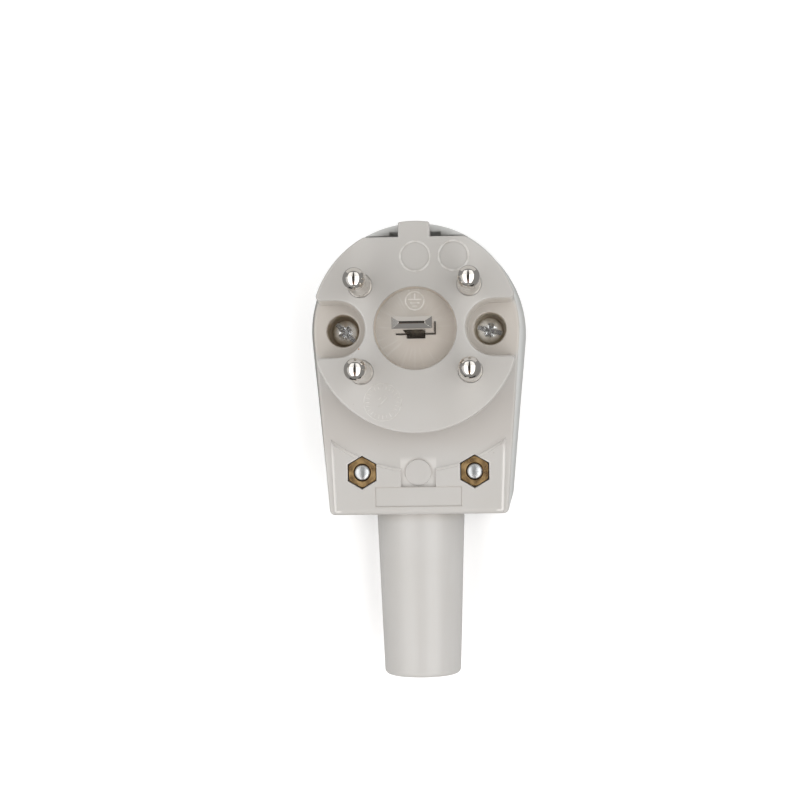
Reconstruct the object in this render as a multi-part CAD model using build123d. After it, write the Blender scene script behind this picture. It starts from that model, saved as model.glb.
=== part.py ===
from build123d import *
import math
import os

# A five-pole angled plug, lying on the flat back of its cover.
# X points right and Y points to the key tab, as seen from the pins.
# Z points along the pins, and z = 0 is the flat back.

# Overall sizes of the body
BODY_DEPTH = 33.0
BODY_RADIUS = 23.8
BODY_LENGTH_BELOW_CENTRE = 42.6
BODY_SIDE_TAPER_DEG = 4.4
BODY_CORNER = 1.3

# Front housing: plate, raised disc, key tab
DISC_STEP = 7.6
PLATE_THICKNESS = 3.5
PLATE_EDGE_ROUND = 0.5
LOWER_EDGE_ROUND = 1.4
KEY_FLAT_HEIGHT = 20.8
KEY_TAB_WIDTH = 7.2
KEY_TAB_RADIUS = 24.4
KEY_TAB_CORNER = 0.5
DISC_EDGE_ROUND = 0.45
FRONT_FLOOR = 2.5
CEILING_DEPTH = 6.5

# Side notches that hold the cover screws
NOTCH_RADIUS = 6.0
NOTCH_INSET = 5.9
NOTCH_DRAFT_DEG = 4.0
NOTCH_WALL = 1.4
NOTCH_CORNER = 1.0

# Round recess in the middle of the disc
RECESS_RADIUS = 9.4
RECESS_FOOT_RADIUS = 9.2
RECESS_DEPTH = 4.0
RECESS_DISH = 0.4
RECESS_RIM_ROUND = 0.3

# Two shallow round marks beside the key tab
MARK_RADIUS = 3.25
MARK_DEPTH = 0.15
MARK_HEIGHT = 16.3
MARK_X = (0.2, 8.95)

# Raised pad on the lower plate, with its bare label places
PAD_HEIGHT = 0.9
PAD_FLANK_DEG = 35.0
PAD_TOP_RADIUS = 32.2
PAD_TOP_HALF_WIDTH = 20.3
PAD_FOOT_HALF_WIDTH = 19.5
POCKET_HALF_WIDTH = 4.05
POCKET_LOW_Y = 36.2
BADGE_RADIUS = 2.95
BADGE_HEIGHT = 0.45
BADGE_Y = 32.9
LABEL_WIDTH = 19.9
LABEL_HEIGHT = 4.5
LABEL_Y = 38.5
LABEL_DEPTH = 0.2

# Rear cover
COVER_WALL = 2.2
COVER_STEP = 0.15
COVER_FLARE = 2.55
COVER_TAPER_AT_BACK_DEG = 6.1
COVER_FOOT_FLARE = 0.85
COVER_BACK_CORNER = 8.0
COVER_BACK_ROUND = 6.0
COVER_LUG_DROP = 0.5
KEY_GAP_WIDTH = 11.4
KEY_GAP_DEPTH = 0.8
KEY_GAP_FLOOR = 1.2
SEAM_GAP = 0.15
LIP_DROP = 2.0
LIP_THICKNESS = 1.2
LIP_GAP = 0.15

# Cover screws and their threaded inserts
COVER_SCREW_INSET = 6.8
COVER_SCREW_SINK = 8.5
COVER_SCREW_WELL_RADIUS = 3.75
COVER_SCREW_WELL_ROUND = 0.4
COVER_SCREW_SEAT = 1.4
COVER_SCREW_LENGTH = 11.4
SCREW_TUBE_WALL = 0.95
INSERT_RADIUS = 2.6
INSERT_LENGTH = 8.5
INSERT_BOSS_RADIUS = 4.4
INSERT_GROOVE_DEPTH = 0.3
INSERT_GROOVE_WIDTH = 1.6

# Contact pins
PIN_RADIUS = 2.5
PIN_LENGTH = 20.0
PIN_ROOT_STEP = 0.2
PIN_SPACING_X = 24.8
PIN_SPACING_Y = 19.7
PIN_COLLAR_STEP = 1.1
PIN_COLLAR_THICKNESS = 2.2
PIN_BARREL_STEP = 0.9
PIN_NECK_STEP = 0.3
PIN_NECK_BEYOND_RETAINER = 1.4
PIN_FOOT_CHAMFER = 0.4
TOWER_WALL = 1.3
TOWER_DROP = 4.9
WIRE_HOLE_RADIUS = 1.6
WIRE_HOLE_ABOVE_RETAINER = 3.0

# Flat earth contact in the recess
BLADE_WIDTH = 8.8
BLADE_THICKNESS = 2.65
BLADE_Y = 0.2
BLADE_REACH = 18.0
BLADE_TIP_HEIGHT = 1.3
BLADE_RIDGE_WIDTH = 5.75
BLADE_RIDGE_THICKNESS = 0.5
BLADE_GROOVE_WIDTH = 4.4
BLADE_GROOVE_DEPTH = 1.6
BLADE_GROOVE_BELOW_TIP = 5.0
BLADE_FLOOR_NOTCH = 0.85
EARTH_BARREL_RADIUS = 4.0
EARTH_COLLAR_STEP = 1.0

# Plate that holds the contacts in, and its two screws
RETAINER_THICKNESS = 2.0
RETAINER_EDGE = 4.6
RETAINER_SCREW_Y = 11.2
RETAINER_SCREW_RADIUS = 1.45
RETAINER_SCREW_LENGTH = 9.0
RETAINER_BOSS_RADIUS = 2.8

# Cable sleeve
SLEEVE_ROOT_RADIUS = 10.35
SLEEVE_END_RADIUS = 8.95
SLEEVE_BORE_RADIUS = 6.9
SLEEVE_LENGTH_OUTSIDE = 38.2
SLEEVE_FLANGE_STEP = 0.95
SLEEVE_FLANGE_THICKNESS = 2.0
SLEEVE_END_ROUND = 1.3
SLEEVE_MOUTH_ROUND = 0.5
SLEEVE_COVER_SKIN = 0.7
END_WALL = 2.3
FLANGE_RIB = 1.2
CABLE_PASSAGE_RADIUS = 7.4

# Cord clamp with its screws and nuts
CLAMP_SCREW_SPACING = 26.0
CLAMP_Y = 32.8
CLAMP_LENGTH = 7.4
CLAMP_EAR_THICKNESS = 3.0
CLAMP_EAR_RADIUS = 3.7
CLAMP_ARCH_RADIUS = 6.9
CLAMP_ARCH_WALL = 2.2
CLAMP_RIDGE_HEIGHT = 0.5
CLAMP_RIDGE_WIDTH = 1.2
CLAMP_RIDGE_PITCH = 4.0
CLAMP_GAP = 0.2
CLAMP_POST_WALL = 1.0
CLAMP_TIP_ABOVE_NUT = 0.7
NUT_ACROSS_FLATS = 6.2
NUT_HEIGHT = 2.8
NUT_SINK = 0.9
NUT_CHAMFER = 0.3
NUT_BORE_CHAMFER = 0.3
NUT_POCKET_CHAMFER = 0.2
NUT_MOUTH_DEG = 45.0

# Machine screws
SCREW_RADIUS = 1.75
SCREW_HEAD_RADIUS = 3.0
SCREW_HEAD_HEIGHT = 2.0
SCREW_END_CHAMFER = 0.3
SLOT_WIDTH = 0.8
SLOT_DEPTH = 0.9
CROSS_WIDTH = 1.0
CROSS_LENGTH = 3.4
CROSS_DEPTH = 1.2
TERMINAL_SCREW_LENGTH = 4.9
TERMINAL_HEAD_RADIUS = 2.6
TERMINAL_HEAD_HEIGHT = 2.2
TERMINAL_GAP = 0.3

# Clearances between pieces
THREAD_GAP = 0.05
PIN_HOLE_GAP = 0.1
HOLE_GAP = 0.15
BARREL_GAP = 0.4
RETAINER_GAP = 0.2
NUT_POCKET_GAP = 0.25
SLEEVE_GAP = 0.15
FLANGE_GAP = 0.1
BLADE_GAP = 0.2
SEAT_GAP = 0.15

# Levels and places that follow from the sizes above
disc_z = BODY_DEPTH
plate_z = disc_z - DISC_STEP
rim_z = plate_z - PLATE_THICKNESS
seam_z = rim_z - SEAM_GAP
pad_z = plate_z + PAD_HEIGHT
ceiling_z = disc_z - CEILING_DEPTH
tower_end_z = rim_z - TOWER_DROP
retainer_back_z = tower_end_z - RETAINER_THICKNESS
pin_back_z = retainer_back_z - PIN_NECK_BEYOND_RETAINER
wire_hole_z = tower_end_z + WIRE_HOLE_ABOVE_RETAINER
recess_floor_z = disc_z - RECESS_DEPTH
lug_z = plate_z - COVER_LUG_DROP
lip_inset = COVER_WALL + LIP_GAP - COVER_STEP
front_wall = lip_inset + LIP_THICKNESS

notch_x = BODY_RADIUS - NOTCH_INSET
cover_screw_x = BODY_RADIUS - COVER_SCREW_INSET
cover_seat_z = plate_z - COVER_SCREW_SINK
screw_tube_radius = COVER_SCREW_WELL_RADIUS + SCREW_TUBE_WALL
screw_tube_end_z = cover_seat_z - COVER_SCREW_SEAT
insert_boss_z = screw_tube_end_z - SEAT_GAP

pin_places = {
    "upper_left": (-PIN_SPACING_X / 2, PIN_SPACING_Y / 2),
    "upper_right": (PIN_SPACING_X / 2, PIN_SPACING_Y / 2),
    "lower_left": (-PIN_SPACING_X / 2, -PIN_SPACING_Y / 2),
    "lower_right": (PIN_SPACING_X / 2, -PIN_SPACING_Y / 2),
}
sides = {"left": -1, "right": 1}
collar_radius = PIN_RADIUS + PIN_COLLAR_STEP
barrel_radius = PIN_RADIUS + PIN_BARREL_STEP
neck_radius = PIN_RADIUS + PIN_NECK_STEP
root_radius = PIN_RADIUS + PIN_ROOT_STEP
tower_bore = barrel_radius + BARREL_GAP
tower_radius = tower_bore + TOWER_WALL
earth_collar_radius = EARTH_BARREL_RADIUS + EARTH_COLLAR_STEP
earth_tower_bore = earth_collar_radius + RETAINER_GAP
earth_tower_radius = earth_tower_bore + TOWER_WALL

flange_radius = SLEEVE_ROOT_RADIUS + SLEEVE_FLANGE_STEP
sleeve_z = plate_z - SLEEVE_COVER_SKIN - flange_radius
end_wall_y = -(BODY_LENGTH_BELOW_CENTRE - END_WALL)
flange_y = end_wall_y + FLANGE_GAP
flange_inner_y = flange_y + SLEEVE_FLANGE_THICKNESS
rib_y = flange_inner_y + FLANGE_GAP
sleeve_end_y = -(BODY_LENGTH_BELOW_CENTRE + SLEEVE_LENGTH_OUTSIDE)
rib_half_width = flange_radius + HOLE_GAP

nut_pocket_flats = NUT_ACROSS_FLATS + 2 * NUT_POCKET_GAP
nut_top_z = pad_z - NUT_SINK
nut_floor_z = nut_top_z - NUT_HEIGHT
clamp_post_radius = nut_pocket_flats / math.sqrt(3) + CLAMP_POST_WALL
clamp_seat_z = sleeve_z
clamp_ear_top_z = clamp_seat_z - CLAMP_GAP
clamp_ear_back_z = clamp_ear_top_z - CLAMP_EAR_THICKNESS
clamp_tip_z = nut_top_z + CLAMP_TIP_ABOVE_NUT

# A cut that has to reach past a face goes this much further
OVERCUT = 1.0
FAR = 60.0


def rise(face, low, high, taper=0.0):
    """Extrude a flat face from one level up to another."""
    return extrude(Pos(0, 0, low) * face, amount=high - low, dir=(0, 0, 1), taper=taper)


def post(x, y, radius, low, high):
    """Upright cylinder between two levels."""
    return Pos(x, y, low) * Cylinder(radius, high - low, align=(Align.CENTER, Align.CENTER, Align.MIN))


def block(x_range, y_range, z_range):
    """Box given by its limits along each axis."""
    lows, highs = zip(x_range, y_range, z_range)
    size = [high - low for low, high in zip(lows, highs)]
    return Pos(*lows) * Box(*size, align=(Align.MIN, Align.MIN, Align.MIN))


def turned(*edges):
    """Turn a closed half section, drawn as (radius, height), about the Z axis."""
    return revolve(Plane.XZ * make_face(edges), Axis.Z)


def rounded_mouth(radius, mouth_z, rounding):
    """Half section of a round hole's mouth, from its wall to its rounded edge and up past it."""
    share = rounding * (1 - math.sqrt(0.5))
    return [
        ThreePointArc(
            (radius, mouth_z - rounding),
            (radius + share, mouth_z - share),
            (radius + rounding, mouth_z),
        ),
        Line((radius + rounding, mouth_z), (radius + rounding, mouth_z + OVERCUT)),
        Line((radius + rounding, mouth_z + OVERCUT), (0, mouth_z + OVERCUT)),
    ]


def mouthed_hole(x, y, radius, low, mouth_z, rounding):
    """Round hole with a rounded edge at its mouth."""
    return Pos(x, y) * turned(
        Line((0, low), (radius, low)),
        Line((radius, low), (radius, mouth_z - rounding)),
        *rounded_mouth(radius, mouth_z, rounding),
        Line((0, mouth_z + OVERCUT), (0, low)),
    )


def bar_along_y(radius, y_low, y_high, z):
    """Cylinder that lies along Y at height z."""
    return Pos(0, y_high, z) * Rot(90, 0, 0) * Cylinder(
        radius, y_high - y_low, align=(Align.CENTER, Align.CENTER, Align.MIN)
    )


def body_outline(radius, taper_deg, foot, corner):
    """Round head with straight sides that draw in towards a flat foot."""
    sine = math.sin(math.radians(taper_deg))
    cosine = math.cos(math.radians(taper_deg))
    touch = (radius * cosine, -radius * sine)
    end_x = (radius - foot * sine) / cosine
    mirror_touch = (-touch[0], touch[1])
    edges = [
        ThreePointArc(mirror_touch, (0, radius), touch),
        Line(touch, (end_x, -foot)),
        Line((end_x, -foot), (-end_x, -foot)),
        Line((-end_x, -foot), mirror_touch),
    ]
    face = make_face(edges)
    feet = face.vertices().sort_by(Axis.Y)[:2]
    return fillet(feet, corner)


def plate_outline(inset=0.0):
    """Outline of the front plate, or the same line moved inwards."""
    return body_outline(
        BODY_RADIUS - inset,
        BODY_SIDE_TAPER_DEG,
        BODY_LENGTH_BELOW_CENTRE - inset,
        max(BODY_CORNER - inset, 0.5),
    )


def cover_section(z, inset=0.0):
    """Outline of the rear cover at a level: it flares from the seam to the back."""
    share = (rim_z - z) / rim_z
    radius = BODY_RADIUS + COVER_STEP + COVER_FLARE * share
    taper = BODY_SIDE_TAPER_DEG + (COVER_TAPER_AT_BACK_DEG - BODY_SIDE_TAPER_DEG) * share
    foot = BODY_LENGTH_BELOW_CENTRE + COVER_STEP + COVER_FOOT_FLARE * share
    corner = BODY_CORNER + (COVER_BACK_CORNER - BODY_CORNER) * share
    return Pos(0, 0, z) * body_outline(
        radius - inset, taper, foot - inset, max(corner - inset, 0.4)
    )


def notch_sketch(side, radius):
    """U shape that opens to one side of the disc."""
    x = side * notch_x
    return Pos(x, 0) * Circle(radius) + Pos(x + side * FAR / 2, 0) * Rectangle(FAR, 2 * radius)


def key_side(y_limit):
    """Flat face that covers everything below the key flat."""
    return Pos(0, y_limit - FAR) * Rectangle(2 * FAR, 2 * FAR)


def hexagon(across_flats):
    """Hexagon with two corners on the Y axis."""
    return RegularPolygon(across_flats / 2, 6, major_radius=False, rotation=30)


def screw(head_radius, head_height, shank_radius, length, cross=False):
    """Screw along Z with the underside of its head at z = 0 and its head above."""
    head = post(0, 0, head_radius, 0, head_height)
    head = fillet(head.edges().group_by(Axis.Z)[-1], head_height * 0.4)
    shank = post(0, 0, shank_radius, -length, 0)
    shank = chamfer(shank.edges().group_by(Axis.Z)[0], SCREW_END_CHAMFER)
    slot = block((-FAR, FAR), (-SLOT_WIDTH / 2, SLOT_WIDTH / 2), (head_height - SLOT_DEPTH, FAR))
    made = head + shank - slot
    if cross:
        for angle in (0, 90):
            arm = Rot(0, 0, angle) * Box(CROSS_LENGTH, CROSS_WIDTH, 2 * CROSS_DEPTH)
            made -= Pos(0, 0, head_height) * arm
    return made


def sunk_bore(radius, low, high):
    """Pair of like bores for the two cover screws, as one cutter."""
    return [post(side * cover_screw_x, 0, radius, low, high) for side in sides.values()]


def make_disc():
    """Raised disc with its key flat, key tab and the two side notches."""
    face = Circle(BODY_RADIUS) & key_side(KEY_FLAT_HEIGHT)
    disc = rise(face, plate_z - PLATE_EDGE_ROUND, disc_z)
    for side in sides.values():
        disc -= rise(notch_sketch(side, NOTCH_RADIUS), plate_z, disc_z + OVERCUT, -NOTCH_DRAFT_DEG)
        low_notch = notch_sketch(side, NOTCH_RADIUS)
        disc -= rise(low_notch, plate_z - OVERCUT, plate_z)
    corners = [
        edge
        for edge in disc.edges()
        if abs(edge.center().X) > notch_x
        and NOTCH_RADIUS - 1 < abs(edge.center().Y) < NOTCH_RADIUS + 2
        and edge.length > DISC_STEP * 0.8
        and abs(edge.bounding_box().size.Z - edge.length) < 0.5
    ]
    disc = fillet(corners, NOTCH_CORNER)
    tab_face = Circle(KEY_TAB_RADIUS) & Pos(0, KEY_TAB_RADIUS) * Rectangle(
        KEY_TAB_WIDTH, 2 * (KEY_TAB_RADIUS - KEY_FLAT_HEIGHT + OVERCUT)
    )
    tab_face = fillet(tab_face.vertices().sort_by(Axis.Y)[-2:], KEY_TAB_CORNER)
    disc += rise(tab_face, lug_z + SEAT_GAP, disc_z)
    return fillet(disc.edges().group_by(Axis.Z)[-1], DISC_EDGE_ROUND)


def make_plate():
    """Flat plate behind the disc, with rounded edges and the raised lower pad."""
    plate = rise(plate_outline() & key_side(KEY_FLAT_HEIGHT), rim_z, plate_z)
    plate = fillet(plate.edges().group_by(Axis.Z)[-1], PLATE_EDGE_ROUND)
    top_y = -math.sqrt(PAD_TOP_RADIUS**2 - PAD_TOP_HALF_WIDTH**2)
    foot_y = -BODY_LENGTH_BELOW_CENTRE
    pad_face = make_face(
        [
            ThreePointArc((PAD_TOP_HALF_WIDTH, top_y), (0, -PAD_TOP_RADIUS), (-PAD_TOP_HALF_WIDTH, top_y)),
            Line((-PAD_TOP_HALF_WIDTH, top_y), (-PAD_FOOT_HALF_WIDTH, foot_y - OVERCUT)),
            Line((-PAD_FOOT_HALF_WIDTH, foot_y - OVERCUT), (PAD_FOOT_HALF_WIDTH, foot_y - OVERCUT)),
            Line((PAD_FOOT_HALF_WIDTH, foot_y - OVERCUT), (PAD_TOP_HALF_WIDTH, top_y)),
        ]
    )
    pad = rise(pad_face, plate_z, pad_z, PAD_FLANK_DEG)
    pad &= rise(plate_outline(), plate_z, pad_z)
    pad -= block(
        (-POCKET_HALF_WIDTH, POCKET_HALF_WIDTH), (-POCKET_LOW_Y, 0), (plate_z, pad_z + OVERCUT)
    )
    label_low = -LABEL_Y - LABEL_HEIGHT / 2
    pad -= block(
        (-LABEL_WIDTH / 2, LABEL_WIDTH / 2),
        (label_low, label_low + LABEL_HEIGHT),
        (pad_z - LABEL_DEPTH, pad_z + OVERCUT),
    )
    badge = post(0, -BADGE_Y, BADGE_RADIUS, plate_z, plate_z + BADGE_HEIGHT)
    plate = plate + pad + badge
    round_y = foot_y + LOWER_EDGE_ROUND
    round_z = pad_z - LOWER_EDGE_ROUND
    corner = block((-FAR, FAR), (foot_y - OVERCUT, round_y), (round_z, pad_z + OVERCUT))
    roller = Pos(0, round_y, round_z) * Rot(0, 90, 0) * Cylinder(LOWER_EDGE_ROUND, 2 * FAR)
    return plate - (corner - roller)


def make_front_cores():
    """Hollows on the hidden side of the front housing."""
    solid_parts = []
    for side in sides.values():
        solid_parts.append(rise(notch_sketch(side, NOTCH_RADIUS + NOTCH_WALL), 0, disc_z))
    for x, y in pin_places.values():
        solid_parts.append(post(x, y, tower_radius, 0, disc_z))
    solid_parts.append(post(0, BLADE_Y, earth_tower_radius, 0, disc_z))
    for sign in (-1, 1):
        solid_parts.append(post(0, sign * RETAINER_SCREW_Y, RETAINER_BOSS_RADIUS, 0, disc_z))
        solid_parts.append(post(sign * CLAMP_SCREW_SPACING / 2, -CLAMP_Y, clamp_post_radius, 0, disc_z))
    solid_parts.append(
        block((-rib_half_width, rib_half_width), (-FAR, rib_y + FLANGE_RIB), (0, disc_z))
    )
    head = Circle(BODY_RADIUS - front_wall) & key_side(KEY_FLAT_HEIGHT - front_wall)
    deep = rise(head, rim_z - OVERCUT, ceiling_z)
    shallow = rise(plate_outline(front_wall) & key_side(0), rim_z - OVERCUT, plate_z - FRONT_FLOOR)
    return (deep + shallow) - solid_parts


def make_front_backs():
    """Towers, tubes, posts, lip and rib that stand on the hidden side."""
    parts = []
    for x, y in pin_places.values():
        parts.append(post(x, y, tower_radius, tower_end_z, rim_z))
    parts.append(post(0, BLADE_Y, earth_tower_radius, tower_end_z, rim_z))
    for sign in (-1, 1):
        parts.append(post(0, sign * RETAINER_SCREW_Y, RETAINER_BOSS_RADIUS, tower_end_z, rim_z))
        parts.append(
            post(sign * CLAMP_SCREW_SPACING / 2, -CLAMP_Y, clamp_post_radius, clamp_seat_z, rim_z)
        )
    inside = rise(plate_outline(lip_inset) & key_side(KEY_FLAT_HEIGHT), 0, rim_z)
    for tube in sunk_bore(screw_tube_radius, screw_tube_end_z, rim_z):
        parts.append(tube & inside)
    lip = rise(plate_outline(lip_inset) & key_side(KEY_FLAT_HEIGHT), rim_z - LIP_DROP, rim_z)
    lip_core = plate_outline(front_wall) & key_side(KEY_FLAT_HEIGHT - LIP_THICKNESS)
    lip -= rise(lip_core, 0, rim_z)
    lip_end = rib_half_width + LIP_GAP
    lip -= block((-lip_end, lip_end), (-FAR, rib_y), (0, rim_z))
    parts.append(lip)
    rib = block((-rib_half_width, rib_half_width), (rib_y, rib_y + FLANGE_RIB), (sleeve_z + FLANGE_GAP, rim_z))
    parts.append(rib)
    return parts


def make_front_holes():
    """Every hole and seat that passes through the front housing."""
    holes = []
    for x, y in pin_places.values():
        holes.append(post(x, y, root_radius + PIN_HOLE_GAP, ceiling_z, disc_z + OVERCUT))
        holes.append(post(x, y, tower_bore, tower_end_z - OVERCUT, ceiling_z))
        slot_half = WIRE_HOLE_RADIUS + HOLE_GAP
        slot_top = wire_hole_z + slot_half
        holes.append(block((x - slot_half, x + slot_half), (y - tower_radius, y), (0, slot_top)))
    holes.append(post(0, BLADE_Y, earth_tower_bore, tower_end_z - OVERCUT, ceiling_z))
    slot_half = WIRE_HOLE_RADIUS + HOLE_GAP
    holes.append(
        block((-slot_half, slot_half), (BLADE_Y - earth_tower_radius, BLADE_Y), (0, wire_hole_z + slot_half))
    )
    for sign in (-1, 1):
        y = sign * RETAINER_SCREW_Y
        holes.append(
            post(0, y, RETAINER_SCREW_RADIUS + THREAD_GAP, 0, retainer_back_z + RETAINER_SCREW_LENGTH + SEAT_GAP)
        )
        x = sign * CLAMP_SCREW_SPACING / 2
        holes.append(post(x, -CLAMP_Y, SCREW_RADIUS + HOLE_GAP, 0, disc_z))
        holes.append(Pos(x, -CLAMP_Y) * rise(hexagon(nut_pocket_flats), nut_floor_z, disc_z))
        mouth_z = pad_z - NUT_POCKET_CHAMFER
        mouth = rise(hexagon(nut_pocket_flats), mouth_z, mouth_z + OVERCUT, -NUT_MOUTH_DEG)
        holes.append(Pos(x, -CLAMP_Y) * mouth)
        x = sign * cover_screw_x
        holes.append(
            mouthed_hole(x, 0, COVER_SCREW_WELL_RADIUS, cover_seat_z, plate_z, COVER_SCREW_WELL_ROUND)
        )
    holes += sunk_bore(SCREW_RADIUS + HOLE_GAP, 0, cover_seat_z)
    half_width = BLADE_WIDTH / 2 + BLADE_GAP
    half_thickness = BLADE_THICKNESS / 2 + BLADE_GAP
    slot_y = (BLADE_Y - half_thickness, BLADE_Y + half_thickness)
    holes.append(block((-half_width, half_width), slot_y, (ceiling_z, disc_z)))
    groove_half = BLADE_GROOVE_WIDTH / 2
    notch_y = (slot_y[0] - BLADE_FLOOR_NOTCH, slot_y[0])
    holes.append(block((-groove_half, groove_half), notch_y, (ceiling_z, disc_z)))
    return holes


def make_recess():
    """Dished round recess in the middle of the disc."""
    return turned(
        *rounded_mouth(RECESS_RADIUS, disc_z, RECESS_RIM_ROUND),
        Line((RECESS_RADIUS, disc_z - RECESS_RIM_ROUND), (RECESS_FOOT_RADIUS, recess_floor_z)),
        ThreePointArc(
            (RECESS_FOOT_RADIUS, recess_floor_z),
            (RECESS_FOOT_RADIUS / 2, recess_floor_z - RECESS_DISH * 0.75),
            (0, recess_floor_z - RECESS_DISH),
        ),
        Line((0, recess_floor_z - RECESS_DISH), (0, disc_z + OVERCUT)),
    )


def sleeve_room():
    """Space that the cable sleeve and its flange take up in the body."""
    return [
        bar_along_y(SLEEVE_ROOT_RADIUS + SLEEVE_GAP, -FAR, end_wall_y, sleeve_z),
        bar_along_y(flange_radius + SLEEVE_GAP, end_wall_y, rib_y, sleeve_z),
        bar_along_y(CABLE_PASSAGE_RADIUS, rib_y - OVERCUT, rib_y + FLANGE_RIB + OVERCUT, sleeve_z),
    ]


def make_front_housing():
    """Front moulding that carries the contacts."""
    housing = make_plate() + make_disc()
    housing -= make_recess()
    for x in MARK_X:
        housing -= post(x, MARK_HEIGHT, MARK_RADIUS, disc_z - MARK_DEPTH, disc_z + OVERCUT)
    housing -= make_front_cores()
    housing += make_front_backs()
    housing -= make_front_holes()
    return housing - sleeve_room()


def make_rear_cover():
    """Rear shell with a flat back, its screw bosses and the sleeve opening."""
    outer = loft([cover_section(0), cover_section(lug_z)], ruled=True)
    outer = fillet(outer.edges().group_by(Axis.Z)[0], COVER_BACK_ROUND)
    inner = loft([cover_section(COVER_WALL, COVER_WALL), cover_section(seam_z, COVER_WALL)], ruled=True)
    inner = fillet(inner.edges().group_by(Axis.Z)[0], COVER_BACK_ROUND - COVER_WALL)
    cover = outer - inner
    cover -= rise(key_side(KEY_FLAT_HEIGHT + SEAT_GAP), seam_z, lug_z + OVERCUT)
    lug_face_y = KEY_FLAT_HEIGHT + SEAT_GAP
    cover -= block(
        (-KEY_GAP_WIDTH / 2, KEY_GAP_WIDTH / 2),
        (lug_face_y - OVERCUT, lug_face_y + KEY_GAP_DEPTH),
        (seam_z + KEY_GAP_FLOOR, lug_z + OVERCUT),
    )
    for side in sides.values():
        boss = post(side * cover_screw_x, 0, INSERT_BOSS_RADIUS, COVER_WALL - OVERCUT, insert_boss_z)
        web_x = sorted((side * cover_screw_x, side * (BODY_RADIUS + COVER_FLARE)))
        web = block(web_x, (-COVER_WALL / 2, COVER_WALL / 2), (COVER_WALL, insert_boss_z))
        cover += boss + (web & outer)
    bed = block(
        (-rib_half_width, rib_half_width),
        (end_wall_y - COVER_WALL + SEAT_GAP, end_wall_y),
        (COVER_WALL, seam_z),
    )
    rib = block(
        (-rib_half_width, rib_half_width),
        (rib_y, rib_y + FLANGE_RIB),
        (COVER_WALL - OVERCUT, sleeve_z - FLANGE_GAP),
    )
    cover += [bed, rib]
    cover -= sunk_bore(INSERT_RADIUS + THREAD_GAP, insert_boss_z - SEAT_GAP - INSERT_LENGTH, BODY_DEPTH)
    screw_tip_z = cover_seat_z - COVER_SCREW_LENGTH - SEAT_GAP
    cover -= sunk_bore(SCREW_RADIUS + HOLE_GAP, screw_tip_z, BODY_DEPTH)
    return cover - sleeve_room()


def make_cable_sleeve():
    """Tapered sleeve, turned about its own axis and laid along Y."""
    flange_back = flange_inner_y - sleeve_end_y
    flange_front = flange_y - sleeve_end_y
    outline = Polyline(
        (SLEEVE_BORE_RADIUS, 0),
        (SLEEVE_END_RADIUS, 0),
        (SLEEVE_ROOT_RADIUS, SLEEVE_LENGTH_OUTSIDE),
        (SLEEVE_ROOT_RADIUS, flange_front),
        (flange_radius, flange_front),
        (flange_radius, flange_back),
        (SLEEVE_BORE_RADIUS, flange_back),
        (SLEEVE_BORE_RADIUS, 0),
    )
    sleeve = turned(outline)
    end_edges = sleeve.edges().filter_by(GeomType.CIRCLE).group_by(Axis.Z)[0].sort_by(SortBy.RADIUS)
    sleeve = fillet(end_edges[-1], SLEEVE_END_ROUND)
    end_edges = sleeve.edges().filter_by(GeomType.CIRCLE).group_by(Axis.Z)[0].sort_by(SortBy.RADIUS)
    sleeve = fillet(end_edges[0], SLEEVE_MOUTH_ROUND)
    return Pos(0, sleeve_end_y, sleeve_z) * Rot(-90, 0, 0) * sleeve


def contact_foot(x, y, collar, barrel):
    """Collar, barrel and neck of a contact, with its wire hole and tapped bore."""
    foot = post(x, y, collar, ceiling_z - PIN_COLLAR_THICKNESS, ceiling_z)
    foot += post(x, y, barrel, tower_end_z, ceiling_z)
    neck = post(x, y, neck_radius, pin_back_z, tower_end_z)
    foot += chamfer(neck.edges().group_by(Axis.Z)[0], PIN_FOOT_CHAMFER)
    foot -= Pos(x, y, wire_hole_z) * Rot(90, 0, 0) * Cylinder(WIRE_HOLE_RADIUS, 4 * barrel)
    return foot - post(x, y, SCREW_RADIUS + THREAD_GAP, pin_back_z - OVERCUT, wire_hole_z)


def make_contact_pin(x, y):
    """Round pin with a ball end above the disc and its terminal behind it."""
    root = post(x, y, root_radius, ceiling_z, disc_z)
    stem = post(x, y, PIN_RADIUS, disc_z, disc_z + PIN_LENGTH - PIN_RADIUS)
    ball = Pos(x, y, disc_z + PIN_LENGTH - PIN_RADIUS) * Sphere(PIN_RADIUS)
    return contact_foot(x, y, collar_radius, barrel_radius) + root + stem + ball


def make_earth_contact():
    """Flat grooved blade with a roof-shaped tip and its terminal behind it."""
    shoulder_z = disc_z + BLADE_REACH - BLADE_TIP_HEIGHT
    blade = rise(Rectangle(BLADE_WIDTH, BLADE_THICKNESS), ceiling_z, shoulder_z)
    tip = loft(
        [
            Pos(0, 0, shoulder_z) * Rectangle(BLADE_WIDTH, BLADE_THICKNESS),
            Pos(0, 0, disc_z + BLADE_REACH) * Rectangle(BLADE_RIDGE_WIDTH, BLADE_RIDGE_THICKNESS),
        ],
        ruled=True,
    )
    blade += tip
    half = BLADE_GROOVE_WIDTH / 2
    low_y = -BLADE_THICKNESS / 2
    groove_top = disc_z + BLADE_REACH - BLADE_GROOVE_BELOW_TIP
    blade -= block(
        (-half, half), (low_y - OVERCUT, low_y + BLADE_GROOVE_DEPTH), (ceiling_z, groove_top)
    )
    foot = contact_foot(0, BLADE_Y, earth_collar_radius, EARTH_BARREL_RADIUS)
    return foot + Pos(0, BLADE_Y) * blade


def make_terminal_screw(x, y):
    """Wire screw that enters a contact from behind."""
    made = screw(TERMINAL_HEAD_RADIUS, TERMINAL_HEAD_HEIGHT, SCREW_RADIUS, TERMINAL_SCREW_LENGTH)
    return Pos(x, y, pin_back_z - TERMINAL_GAP) * Rot(180, 0, 0) * made


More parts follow.
